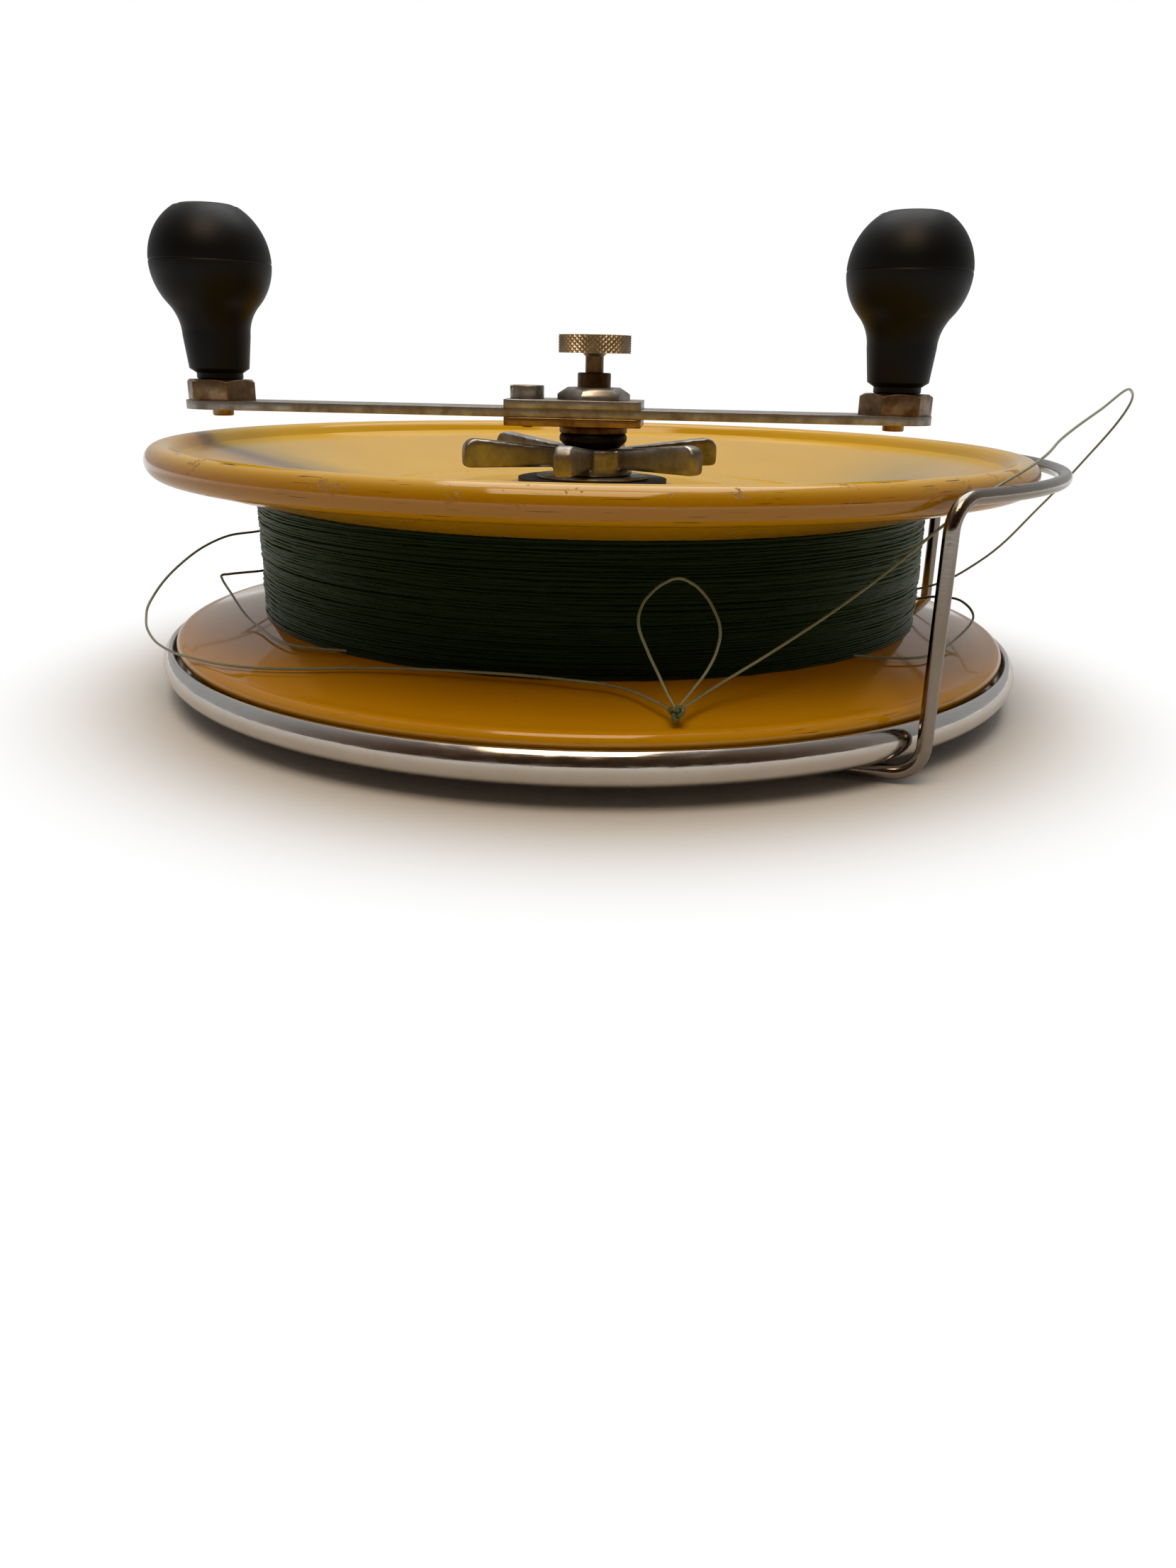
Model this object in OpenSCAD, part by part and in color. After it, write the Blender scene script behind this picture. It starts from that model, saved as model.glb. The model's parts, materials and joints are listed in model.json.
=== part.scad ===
// Centre-pin fishing reel with a star drag, lying on its back plate
// The spool turns about Z, the handle is on top, and the line leaves towards +X

/* [Spool] */
// Space from the lip on the handle side to the edge of the back plate
lip_inset = 0.4; // [0.4:0.2:5]
// Radius of the rounded bead that forms the lip
lip_bead_r = 3; // [2:0.25:4]
// Space from the flange inside the back plate to the edge of that plate
flange_inset = 2.8; // [2.4:0.2:7]
// Radius of the rounded edge of that flange
low_bead_r = 1.9; // [1.5:0.1:2.2]
// Vertical thickness of both flanges
flange_t = 4.4; // [3:0.2:6]
// Rise of the upper flange for each millimetre of radius
top_slope = 0.26; // [0.15:0.01:0.32]
// Fall of the lower flange for each millimetre of radius
low_slope = 0.21; // [0.1:0.01:0.26]
// Radius of the drum that the line is wound on
drum_r = 48; // [44:0.5:54]
// Wall of the drum
drum_wall = 3.5; // [2.5:0.25:5]
// Radius of the flat floor of the dish
dish_floor_r = 54; // [50:0.5:60]
// Height of the hub boss above the floor of the dish
hub_rise = 2.2; // [1:0.1:2.6]
// Radius of the hub
hub_r = 17; // [16.5:0.5:22]

/* [Line] */
// Diameter of the line
line_d = 0.5; // [0.4:0.05:0.6]
// Space from the wound line under its outer layer to the edge of the back plate
line_inset = 21.7; // [21.5:0.1:29]
// Height of the wound line at its outer radius
pack_h = 23.3; // [20:0.1:26]
// Free space between two turns of the outer layer
turn_gap = 0.45; // [0.42:0.01:0.6]

/* [Back plate] */
// Outer radius of the back plate
plate_r = 91; // [86:0.5:94]
// Radius of the rolled rim
rim_roll_r = 3.8; // [3.4:0.1:4.2]
// Sheet thickness of the back plate
plate_t = 1.2; // [0.8:0.1:1.6]
// Angle at which the rolled rim ends
rim_end_angle = 47; // [30:1:55]
// Space between the back plate and the spool
plate_gap = 4; // [3.8:0.1:5]

/* [Leg and foot] */
// Sheet thickness of the leg
leg_t = 3; // [2.8:0.1:4]
// Width of the leg
leg_w = 30; // [26:1:36]
// Length of the leg on the side away from the foot
leg_tail = 48; // [45:1:60]
// Space from the edge of the back plate to the upright of the leg
leg_space = 6; // [5:0.5:14]
// Length of the foot along the rod
foot_len = 100; // [80:1:110]
// Width of the foot
foot_w = 16; // [14:0.5:20]
// Thickness of the foot in its middle
foot_t = 3; // [2.5:0.1:4]
// Thickness of the foot at its ends
foot_end_t = 1.6; // [1.2:0.1:2]
// Height of the middle of the foot
foot_z = 25; // [22:0.5:32]
// Diameter of the rivets
rivet_d = 4; // [3:0.1:4.6]

/* [Line guard] */
// Wire diameter of the guard
guard_d = 2.6; // [2.2:0.1:2.8]
// Direction of the middle of the guard
guard_angle = -16; // [-30:1:-10]
// Angle from the middle of the guard to each leg
guard_half = 38; // [34:1:40]
// Height of the rail, at the middle of the wire
guard_rail_z = 46.6; // [45:0.1:50]
// Bend radius of the wire
guard_bend = 5; // [4:0.5:7]
// Length of the wire under the back plate
guard_tail = 13; // [9:1:20]
// Space between the rim of the back plate and the legs of the guard
guard_stand = 0.8; // [0.6:0.1:1.6]

/* [Drag and spindle] */
// Diameter of the spindle
spindle_d = 6; // [5:0.2:6.6]
// Diameter of the drive sleeve
sleeve_d = 10; // [9.4:0.2:11]
// Outer diameter of the spool bush
bush_d = 14; // [13:0.2:16]
// Diameter of the drag washers
washer_d = 32; // [28:0.5:33]
// Thickness of the drag washers
washer_t = 0.8; // [0.6:0.1:1.2]
// Diameter of the ratchet wheel over its teeth
ratchet_d = 34; // [32:0.5:36]
// Number of ratchet teeth
ratchet_teeth = 12; // [12:12:24]
// Depth of the ratchet teeth
tooth_depth = 2.4; // [2:0.1:3]
// Thickness of the ratchet wheel and the pawl
ratchet_t = 2.5; // [2:0.1:3]
// Radius at which the pawl pivots
pawl_r = 27; // [26:0.5:30]
// Angle that the pawl is lifted out of the teeth
pawl_lift = 8; // [7:0.5:10]

/* [Star wheel] */
// Radius over the tips of the star wheel
star_r = 28.3; // [24:0.1:32]
// Number of arms
star_arms = 6; // [4:1:6]
// Thickness of an arm
star_arm_t = 3.6; // [3:0.1:4.2]
// Height of an arm at the hub
star_arm_h = 3.8; // [3:0.1:4.2]
// Rise of an arm from the hub to its tip
star_tip_rise = 2.1; // [1:0.1:2.4]
// Diameter of the hub of the star wheel
star_hub_d = 17; // [15:0.5:20]
// Height of the hub below the arms
star_foot_h = 1.6; // [1:0.1:2.5]
// Direction of the first arm
star_angle = -103; // [-110:1:-100]

/* [Handle] */
// Distance from the spindle to the longer end's knob
arm_long = 80.8; // [70:0.1:81]
// Distance from the spindle to the shorter end's knob
arm_short = 62.7; // [45:0.1:80]
// Width of the handle arm
arm_w = 15; // [14:0.5:18]
// Thickness of the handle arm
arm_t = 1.8; // [1.5:0.1:2.5]
// Turn of the handle from the X axis
arm_angle = -5.5; // [-10:0.5:0]
// Length of the lock plates
plates_len = 28.6; // [27:0.1:34]
// Reach of the lock plates on the short side of the arm
plates_short = 10.4; // [10:0.1:12]
// Width of the lock plates
plates_w = 16.6; // [16:0.1:20]
// Thickness of the lock plates
plates_t = 1.7; // [1.2:0.1:2.2]
// Diameter of the spacer bush at its top
spacer_d = 14.4; // [13.6:0.1:16]
// Height of the spacer bush
spacer_h = 3; // [2.5:0.1:4]
// Height of the collar
collar_h = 1.5; // [1:0.1:2]
// Width of the centre nut across its flats
nut_af = 13.5; // [12:0.1:15]
// Height of the centre nut
nut_h = 2.5; // [2:0.1:3.5]
// Diameter of the sleeve's end above the nut
boss_d = 7; // [6.4:0.1:8]
// Height of the sleeve's end above the nut
boss_h = 2.9; // [2:0.1:4]
// Head diameter of the lock screw
lock_head_d = 7.2; // [6:0.1:7.6]
// Head height of the lock screw
lock_head_h = 2.7; // [2:0.1:3.2]
// Distance from the spindle to the lock screw
lock_x = 14.2; // [13.4:0.1:15]

/* [Knobs] */
// Diameter of the ball of a knob
knob_d = 24.7; // [22:0.1:26]
// Height of a knob
knob_h = 31.7; // [28:0.1:36]
// Diameter of the flat top of a knob
knob_top_d = 11.6; // [11:0.1:13]
// Diameter of a knob's stem where it starts to curve out to the ball
waist_d = 13.9; // [13.4:0.1:16]
// Radius of the hollow curve between the stem and the ball
waist_bend = 9; // [5:0.5:10]
// Diameter of a knob at its foot
knob_foot_d = 12.4; // [11.6:0.1:13.4]
// Diameter of the pin that a knob turns on
pin_d = 6; // [5:0.1:6.6]
// Diameter of the riveted end of the pin
pin_end_d = 4.4; // [3.6:0.1:4.8]
// Length of the riveted end below the arm
pin_end_h = 1.4; // [0.8:0.1:1.8]
// Width of the pin's nut across its flats
pin_nut_af = 13; // [11:0.1:14]
// Height of the pin's nut
pin_nut_h = 4.2; // [3:0.1:5]
// Diameter of the neck under the foot of a knob
neck_d = 9.6; // [8.6:0.1:11]
// Height of that neck
neck_h = 2.1; // [1.5:0.1:3]

/* [Thumb screw] */
// Diameter of the knurled head
thumb_d = 15.2; // [12:0.1:18]
// Height of the knurled head
thumb_h = 4.2; // [3:0.1:6]
// Diameter of the screw's stem
thumb_stem_d = 3.8; // [3:0.1:4]
// Free stem between the sleeve and the head
thumb_stem_h = 3.5; // [2:0.1:8]

/* [Hidden] */

$fn = 96;
// Radial clearance of a running fit
fit_gap = 0.06;
// Radial clearance of a fixed fit
seat_gap = 0.05;
// Axial clearance between pieces that turn on each other
axial_gap = 0.1;
// Overshoot of a cut past the face it opens
cut = 1;

// Radii that follow the back plate
lip_r = plate_r - lip_inset;
low_flange_r = plate_r - flange_inset;
core_r = plate_r - line_inset;
leg_reach = plate_r + leg_space;

// Levels of the back plate and the spool
plate_z0 = leg_t;
plate_z1 = plate_z0 + plate_t;
low_bead_z = plate_z1 + plate_gap + low_bead_r;
low_bead_x = low_flange_r - low_bead_r;
wind_lift = 0.35;
pack_r = core_r + wind_lift + line_d;
function low_top(r) = low_bead_z + low_bead_r + low_slope * (low_bead_x - r);
function top_under(r) = low_top(pack_r) + pack_h + top_slope * (r - pack_r);
lip_x = lip_r - lip_bead_r;
lip_z = top_under(lip_x) + lip_bead_r;
dish_z = top_under(dish_floor_r) + flange_t;
hub_top = dish_z + hub_rise;

// Levels of the drive from the back plate upwards
spindle_flange_d = 26;
spindle_flange_h = 2.2;
wheel_gap = 0.4;
ratchet_z0 = plate_z1 + spindle_flange_h + wheel_gap;
ratchet_z1 = ratchet_z0 + ratchet_t;
low_washer_z0 = ratchet_z1 + axial_gap;
hub_z0 = low_washer_z0 + washer_t;
pressure_t = 0.5;
pressure_inset = 4;
pressure_z0 = hub_top + washer_t + axial_gap;
star_z0 = pressure_z0 + pressure_t + axial_gap;
arms_z0 = star_z0 + star_foot_h;
star_top = arms_z0 + star_arm_h;
spacer_z0 = star_top + axial_gap;
collar_z0 = spacer_z0 + spacer_h;
low_plate_z0 = collar_z0 + collar_h;
arm_z0 = low_plate_z0 + plates_t;
arm_z1 = arm_z0 + arm_t;
nut_z0 = arm_z1 + plates_t;
boss_z0 = nut_z0 + nut_h;
boss_z1 = boss_z0 + boss_h;
spindle_over = 2;
spindle_top = spacer_z0 + spindle_over;
thumb_reach = 8;
thumb_z0 = boss_z1 + thumb_stem_h;
thumb_cone = 0.7;
thumb_under = 2;

// Levels of the knobs
knob_z0 = arm_z1 + pin_nut_h + axial_gap + neck_h;
foot_slant = 0.9;
knob_z1 = knob_z0 + knob_h;
cap_h = 3;
pin_head_d = 8.6;
pin_head_h = 2;
pin_head_z0 = knob_z1 - cap_h - pin_head_h - 2 * axial_gap;

// Places of the fasteners and the pawl
rivet_x = 9;
rivet_y = 37;
rivet_head_share = 1.75;
rivet_rise_share = 0.3;
rivet_head_d = rivet_head_share * rivet_d;
rivet_head_h = rivet_rise_share * rivet_d;
foot_rivet_x = 7;
nose_dir = 60;
pawl_lead = 35;
post_d = 4;
pawl_eye_r = 4.2;
pawl_slim = 0.2;
pawl_z0 = ratchet_z0 + pawl_slim;
pawl_z1 = ratchet_z1 - pawl_slim;

// Colours
brass = [0.72, 0.56, 0.28];
nickel = [0.52, 0.49, 0.45];
stainless = [0.74, 0.74, 0.74];
yellow = [0.80, 0.54, 0.10];
line_green = [0.13, 0.17, 0.11];
black = [0.08, 0.08, 0.08];
leather = [0.16, 0.10, 0.06];

// Points on a circular arc in a profile
function arc(cx, cy, r, a0, a1, n = 8) =
    [for (i = [0:n]) [cx + r * cos(a0 + (a1 - a0) * i / n), cy + r * sin(a0 + (a1 - a0) * i / n)]];

// Tube along a path, as rings of points joined by triangles
function ring_u(t, ref) = cross(t, ref) / norm(cross(t, ref));
function ring(p, t, ref, r, sides) =
    let (u = ring_u(t, ref), v = cross(u, t))
    [for (k = [0:sides - 1]) p + r * (cos(360 * k / sides) * u + sin(360 * k / sides) * v)];
function path_dir(path, i) =
    let (d = path[min(i + 1, len(path) - 1)] - path[max(i - 1, 0)])
    d / norm(d);
function tube_points(path, d, sides, ref) =
    [for (i = [0:len(path) - 1]) each ring(path[i], path_dir(path, i), ref, d / 2, sides)];
function tube_faces(rings, sides) = concat(
    [for (i = [0:rings - 2], k = [0:sides - 1])
        let (a = i * sides + k, b = i * sides + (k + 1) % sides)
            each [[a, b, b + sides], [a, b + sides, a + sides]]],
    [for (k = [1:sides - 2]) [0, k + 1, k]],
    [for (k = [1:sides - 2]) let (e = (rings - 1) * sides) [e, e + k, e + k + 1]]);
module tube(path, d, sides, ref = [0, 0, 1]) {
    polyhedron(tube_points(path, d, sides, ref), tube_faces(len(path), sides), convexity = 10);
}

// Smooth path through route points, with one point between each pair
function between(p0, p1, p2, p3) = (9 * (p1 + p2) - p0 - p3) / 16;
function smooth(route) = let (n = len(route)) concat(
    [for (i = [0:n - 2]) each [route[i],
        between(route[max(i - 1, 0)], route[i], route[i + 1], route[min(i + 2, n - 1)])]],
    [route[n - 1]]);

// Routes of the free line, drawn for one radius of the back plate and moved out or in with it
drawn_r = 91;
function at_size(p) = [p[0] * plate_r / drawn_r, p[1] * plate_r / drawn_r, p[2]];
function route_at_size(route) = [for (p = route) at_size(p)];
knot_at = [12.3, -85, 14.6];
left_route = [
    [-66, 27, 27.6], [-76.5, 14, 27.2], [-82.6, 4, 26.8], [-89.2, -6, 22.2], [-92.5, -15, 16.6],
    [-91.3, -22, 14.3], [-88.2, -29.5, 12.9], [-81.8, -39.2, 12.2], [-73.5, -48, 12.6], [-64.4, -55.1, 13.2],
    [-54.4, -59.7, 14], [-38.8, -63.9, 15.5], [-21.4, -69.2, 16.5], [-4.8, -73.4, 16.5], [4, -76, 16],
    [9.3, -81, 15.2], [12, -84.6, 14.7]
];
right_route = [
    [12.8, -84.8, 15], [18, -79.5, 16.8], [29.5, -74.3, 22.7], [41.8, -68.4, 29.6], [50.5, -66, 36],
    [55, -67.8, 41], [58.7, -70, 45], [63.9, -65.2, 47.2], [72, -60.5, 51], [82, -46, 54.5],
    [95, -29, 58.5], [109, -10, 62], [114.5, 3, 57], [110, 10, 46], [103, 11.5, 36.5],
    [90, 10.5, 23.5], [77, 11, 17], [69, 16.5, 16.4]
];
loop_route = [
    [12.1, -84.5, 15.2], [11, -82.8, 16.9], [9.6, -80.6, 19.5], [7.7, -78.7, 23.2], [6.4, -77, 26.8],
    [6.9, -75.4, 29.2], [8.4, -74, 31], [10.5, -73, 32.5], [12.9, -72.4, 33.2], [15, -72.6, 32.5],
    [16.9, -73.4, 31], [18.5, -74.9, 28.7], [19.4, -76.6, 26], [19, -78, 23.3], [17.6, -79.6, 20.5],
    [15, -82.1, 17.6], [12.7, -84.3, 15.4]
];
slack_left_route = [
    [-70.4, 8, 20.2], [-72.7, -1, 20.7], [-75.7, -6, 21.1], [-77.6, -8.4, 21.2], [-78.7, -10, 21.2],
    [-78.2, -11.5, 20.7], [-76.8, -14, 19.8], [-75.1, -17, 19], [-72.9, -21, 17.9], [-70.7, -25, 16.9],
    [-67.9, -29.6, 16], [-65.1, -34.2, 15.7], [-62.3, -39.3, 15.6], [-59.4, -44, 15.5], [-55.5, -48.6, 15.6],
    [-50, -52.5, 16], [-44, -55.6, 16.4]
];
slack_right_route = [
    [70.6, -5, 17.2], [72.2, -8.3, 18.5], [73.8, -12, 19.5], [75.9, -15, 19.9], [77.1, -17, 19.9],
    [78, -19, 19.4], [78.5, -21.5, 18.6], [78.2, -24, 17.8], [76.8, -27, 17], [74.7, -30, 16.1],
    [72.5, -32.8, 15.4], [69.8, -36.6, 14.9], [66, -42, 14.7], [62.2, -46.5, 14.8], [57.5, -49.5, 15.1],
    [52.5, -51.3, 15.7], [47, -53.2, 16.4]
];

// Outer layer of the wound line: a helix whose ends turn inwards and meet the wound core squarely
wind_r = core_r + wind_lift + line_d / 2;
wind_z0 = low_top(pack_r) + 2 * line_d;
wind_z1 = top_under(pack_r) - 2 * line_d;
most_turns = 24;
turns = min(most_turns, floor((wind_z1 - wind_z0) / (line_d + turn_gap)));
loop_rings = 24;
wind_sides = 6;
cord_sides = 8;
end_bend = line_d;
end_step = 30;
function helix(i) =
    let (a = 360 * i / loop_rings, z = wind_z0 + (wind_z1 - wind_z0) * i / (turns * loop_rings))
    [wind_r * cos(a), wind_r * sin(a), z];
function end_point(side, out, along) =
    [wind_r - end_bend - out, side * along, side < 0 ? wind_z0 : wind_z1];
function end_bend_point(side, a) = end_point(side, -end_bend * cos(a), end_bend * sin(a));
winding = concat(
    [end_point(-1, line_d, end_bend)],
    [for (a = [90:-end_step:end_step]) end_bend_point(-1, a)],
    [for (i = [0:turns * loop_rings]) helix(i)],
    [for (a = [end_step:end_step:90]) end_bend_point(1, a)],
    [end_point(1, line_d, end_bend)]);
near = loop_rings / 2;
least_gap = min([for (i = [0:len(winding) - 1 - near]) for (j = [i + near:len(winding) - 1])
    norm(winding[i] - winding[j])]) - line_d;
echo(winding_turns = turns, least_gap = least_gap);

module ring_solid(r_out, r_in, z0, z1) {
    translate([0, 0, z0])
        difference() {
            cylinder(r = r_out, h = z1 - z0);
            translate([0, 0, -cut]) cylinder(r = r_in, h = z1 - z0 + 2 * cut);
        }
}

module rivet_places() {
    for (x = [-rivet_x, rivet_x])
        for (y = [-rivet_y, rivet_y])
            translate([x, y, 0]) children();
}

module at_pawl() {
    rotate(nose_dir + pawl_lead) translate([pawl_r, 0, 0]) children();
}

module at_handle() {
    rotate(arm_angle) children();
}

module at_long_knob() {
    at_handle() translate([-arm_long, 0, 0]) children();
}

module at_short_knob() {
    at_handle() translate([arm_short, 0, 0]) children();
}

// Pressed stainless pan with a rolled rim
module back_plate() {
    color(stainless)
        difference() {
            rotate_extrude($fn = 180) {
                translate([0, plate_z0]) square([plate_r - rim_roll_r, plate_t]);
                translate([plate_r - rim_roll_r, plate_z0 + rim_roll_r])
                    intersection() {
                        difference() {
                            circle(r = rim_roll_r);
                            circle(r = rim_roll_r - plate_t);
                        }
                        polygon(concat([[0, 0]], arc(0, 0, 2 * rim_roll_r, -90, rim_end_angle, 6)));
                    }
            }
            translate([0, 0, plate_z0 - cut]) cylinder(d = stub_d + 2 * seat_gap, h = plate_t + 2 * cut);
            translate([0, 0, plate_z0 - cut])
                rivet_places() cylinder(d = rivet_d + 2 * seat_gap, h = plate_t + 2 * cut);
            translate([0, 0, plate_z0 - cut])
                at_pawl() cylinder(d = post_d + 2 * seat_gap, h = plate_t + 2 * cut);
        }
}

// Fixed spindle, riveted through the back plate and the leg
stub_d = 8;
stub_recess = 0.4;
module spindle() {
    color(nickel)
        difference() {
            union() {
                cylinder(d = stub_d, h = plate_z1);
                translate([0, 0, plate_z1]) cylinder(d = spindle_flange_d, h = spindle_flange_h);
                translate([0, 0, plate_z1]) cylinder(d = spindle_d, h = spindle_top - plate_z1);
            }
            translate([0, 0, spindle_top - thumb_reach - cut])
                cylinder(d = thumb_stem_d + 2 * fit_gap, h = thumb_reach + 2 * cut);
        }
}

// Leg: a strip under the back plate that turns up beyond its rim
leg_bend = 5;
upright_w = 24;
module leg_profile() {
    top = foot_z + foot_w / 2;
    translate([-leg_tail, 0]) square([leg_tail + leg_reach + leg_t - leg_bend, leg_t]);
    translate([leg_reach, leg_bend]) square([leg_t, top - leg_bend]);
    translate([leg_reach + leg_t - leg_bend, leg_bend])
        intersection() {
            difference() {
                circle(r = leg_bend);
                circle(r = leg_bend - leg_t);
            }
            translate([0, -leg_bend]) square(leg_bend);
        }
}
module reel_leg() {
    color(stainless)
        difference() {
            translate([-leg_w / 2, 0, 0]) rotate([90, 0, 90]) linear_extrude(leg_w) leg_profile();
            for (s = [-1, 1])
                translate([s * (leg_w + upright_w) / 2 - leg_w / 2, leg_reach - cut, leg_bend + leg_t])
                    cube([leg_w, leg_t + 2 * cut, foot_z + foot_w]);
            translate([0, 0, -cut]) cylinder(d = stub_d + 2 * seat_gap, h = leg_t + 2 * cut);
            translate([0, 0, -cut]) rivet_places() cylinder(d = rivet_d + 2 * seat_gap, h = leg_t + 2 * cut);
            translate([0, 0, -cut]) at_pawl() cylinder(d = post_d + 2 * seat_gap, h = leg_t + 2 * cut);
            foot_rivet_places() cylinder(d = rivet_d + 2 * seat_gap, h = leg_t + foot_t + 2 * cut);
        }
}

// Foot that lies along the rod, with thinner ends for the hoods of the reel seat
foot_y0 = leg_reach + leg_t;
foot_y1 = foot_y0 + foot_t;
foot_flat = 6;
module foot_rivet_places() {
    for (x = [-foot_rivet_x, foot_rivet_x])
        translate([x, leg_reach - cut, foot_z]) rotate([-90, 0, 0]) children();
}
module reel_foot() {
    half = foot_len / 2;
    flat = upright_w / 2 + foot_flat;
    tip_r = foot_w / 4;
    color(stainless)
        difference() {
            translate([0, foot_y1, foot_z - foot_w / 2])
                linear_extrude(foot_w)
                    polygon([[-half, 0], [-half, -foot_end_t], [-flat, -foot_t],
                        [flat, -foot_t], [half, -foot_end_t], [half, 0]]);
            foot_rivet_places() cylinder(d = rivet_d + 2 * seat_gap, h = leg_t + foot_t + 2 * cut);
            for (sx = [-1, 1])
                for (sz = [-1, 1])
                    translate([sx * (half - tip_r), foot_y0 - cut, foot_z + sz * (foot_w / 2 - tip_r)])
                        rotate([-90, 0, 0])
                            foot_corner(sx, -sz, tip_r);
        }
}
module foot_corner(sx, sy, r) {
    linear_extrude(foot_t + 2 * cut)
        difference() {
            translate([sx < 0 ? -r - cut : 0, sy < 0 ? -r - cut : 0]) square(r + cut);
            circle(r = r);
        }
}

// Rivets of the back plate, flush below, with flat heads inside
module leg_rivets() {
    color(stainless)
        rivet_places() {
            translate([0, 0, stub_recess]) cylinder(d = rivet_d, h = plate_z1 - stub_recess);
            translate([0, 0, plate_z1]) cylinder(d = rivet_head_d, h = rivet_head_h);
        }
}

// Rivets that hold the foot, flush with its seat
module foot_rivets() {
    color(stainless)
        foot_rivet_places() {
            translate([0, 0, cut]) cylinder(d = rivet_d, h = leg_t + foot_t - stub_recess);
            translate([0, 0, cut - rivet_head_h]) cylinder(d = rivet_head_d, h = rivet_head_h);
        }
}

// Line guard: one bent wire, with its two ends under the back plate and a rail outside the lip
// Each run of wire stops short of its bend, and a ball a little thicker than the wire closes the joint
joint_d = 1.05 * guard_d;
joint_trim = 0.1 * guard_d;
guard_r = plate_r + guard_stand + guard_d / 2;
guard_tail_z = plate_z0 - seat_gap - joint_d / 2;
rail_x = guard_bend / sin(guard_half);
rail_r = guard_r - guard_bend / tan(guard_half);
module wire_run(len) {
    translate([0, 0, joint_trim]) cylinder(d = guard_d, h = len - 2 * joint_trim, $fn = 48);
    sphere(d = joint_d, $fn = 48);
    translate([0, 0, len]) sphere(d = joint_d, $fn = 48);
}
module wire_bend(angle, r) {
    trim = asin(joint_trim / r);
    rotate(trim)
        rotate_extrude(angle = angle - 2 * trim, $fn = 180) translate([r, 0]) circle(d = guard_d, $fn = 48);
}
module guard_side(s) {
    a = s * guard_half;
    leg_z0 = guard_tail_z + guard_bend;
    leg_z1 = guard_rail_z - guard_bend;
    translate([guard_r * cos(a), guard_r * sin(a), 0]) {
        translate([-guard_bend - guard_tail, 0, guard_tail_z]) rotate([0, 90, 0]) wire_run(guard_tail);
        translate([-guard_bend, 0, leg_z0]) rotate([90, 0, 0]) rotate(-90) wire_bend(90, guard_bend);
        translate([0, 0, leg_z0]) wire_run(leg_z1 - leg_z0);
        translate([guard_bend * s * sin(a), -guard_bend * s * cos(a), leg_z1]) {
            rotate(a + s * 90) rotate([90, 0, 0]) wire_bend(90, guard_bend);
            translate([0, 0, guard_bend]) sphere(d = joint_d, $fn = 48);
        }
    }
}
module line_guard() {
    color(stainless)
        rotate(guard_angle) {
            guard_side(-1);
            guard_side(1);
            translate([rail_x, 0, guard_rail_z]) rotate(-guard_half) wire_bend(2 * guard_half, rail_r);
        }
}

// Post, spring and pawl that stop the handle from turning back
post_head_r = pawl_eye_r - 0.4;
post_head_h = 1;
module pawl_post() {
    color(nickel)
        at_pawl() {
            translate([0, 0, stub_recess]) cylinder(d = post_d, h = pawl_z1 + axial_gap - stub_recess);
            translate([0, 0, pawl_z1 + axial_gap]) cylinder(r = post_head_r, h = post_head_h);
        }
}
spring_wire = 1;
module pawl_spring() {
    color(nickel)
        at_pawl() ring_solid(post_d / 2 + spring_wire, post_d / 2 + seat_gap, plate_z1, pawl_z0 - axial_gap);
}
// The lever stays outside the wheel, and its nose swings in between two teeth
nose_w = 1.2;
nose_share = 0.55;
lever_gap = 1.2;
lever_w = 3.8;
lever_shoulder = 3;
module ratchet_pawl() {
    pivot = pawl_r * [cos(pawl_lead), sin(pawl_lead)];
    nose_r = ratchet_d / 2 - tooth_depth * nose_share;
    lever_r = ratchet_d / 2 + lever_gap;
    h = pawl_z1 - pawl_z0;
    color(nickel)
        rotate(nose_dir)
            translate([pivot.x, pivot.y, pawl_z0])
                rotate(pawl_lift)
                    difference() {
                        union() {
                            cylinder(r = pawl_eye_r, h = h);
                            translate(-pivot)
                                linear_extrude(h)
                                    polygon([[nose_r, -nose_w / 2], [nose_r, nose_w / 2], [lever_r, nose_w],
                                        pivot - [lever_shoulder, 0], pivot + [lever_shoulder, 0],
                                        [lever_r + lever_w, -nose_w], [lever_r, -nose_w]]);
                        }
                        translate([0, 0, -cut]) cylinder(d = post_d + 2 * fit_gap, h = h + 2 * cut);
                    }
}

// Moulded spool: dished upper flange with a beaded lip, hollow drum, and flat lower flange
lip_share = 0.7;
module spool() {
    ceiling = dish_z - flange_t;
    drum_in = drum_r - drum_wall;
    low_under = low_top(drum_in) - flange_t;
    dish_end = lip_x - lip_bead_r * lip_share;
    color(yellow)
        rotate_extrude($fn = 180) {
            polygon([[bush_d / 2 + seat_gap, hub_z0], [hub_r, hub_z0], [hub_r, ceiling],
                [drum_in, ceiling], [drum_in, low_under],
                [low_bead_x, low_bead_z - low_bead_r], [low_bead_x, low_top(low_bead_x)],
                [drum_r, low_top(drum_r)], [drum_r, top_under(drum_r)], [lip_x, top_under(lip_x)],
                [lip_x, lip_z], [dish_end, top_under(dish_end) + flange_t], [dish_floor_r, dish_z],
                [hub_r + hub_rise, dish_z], [hub_r, hub_top], [bush_d / 2 + seat_gap, hub_top]]);
            translate([low_bead_x, low_bead_z]) circle(r = low_bead_r);
            translate([lip_x, lip_z]) circle(r = lip_bead_r);
        }
}
module spool_bush() {
    color(brass) ring_solid(bush_d / 2, sleeve_d / 2 + fit_gap, hub_z0, hub_top);
}

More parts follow.
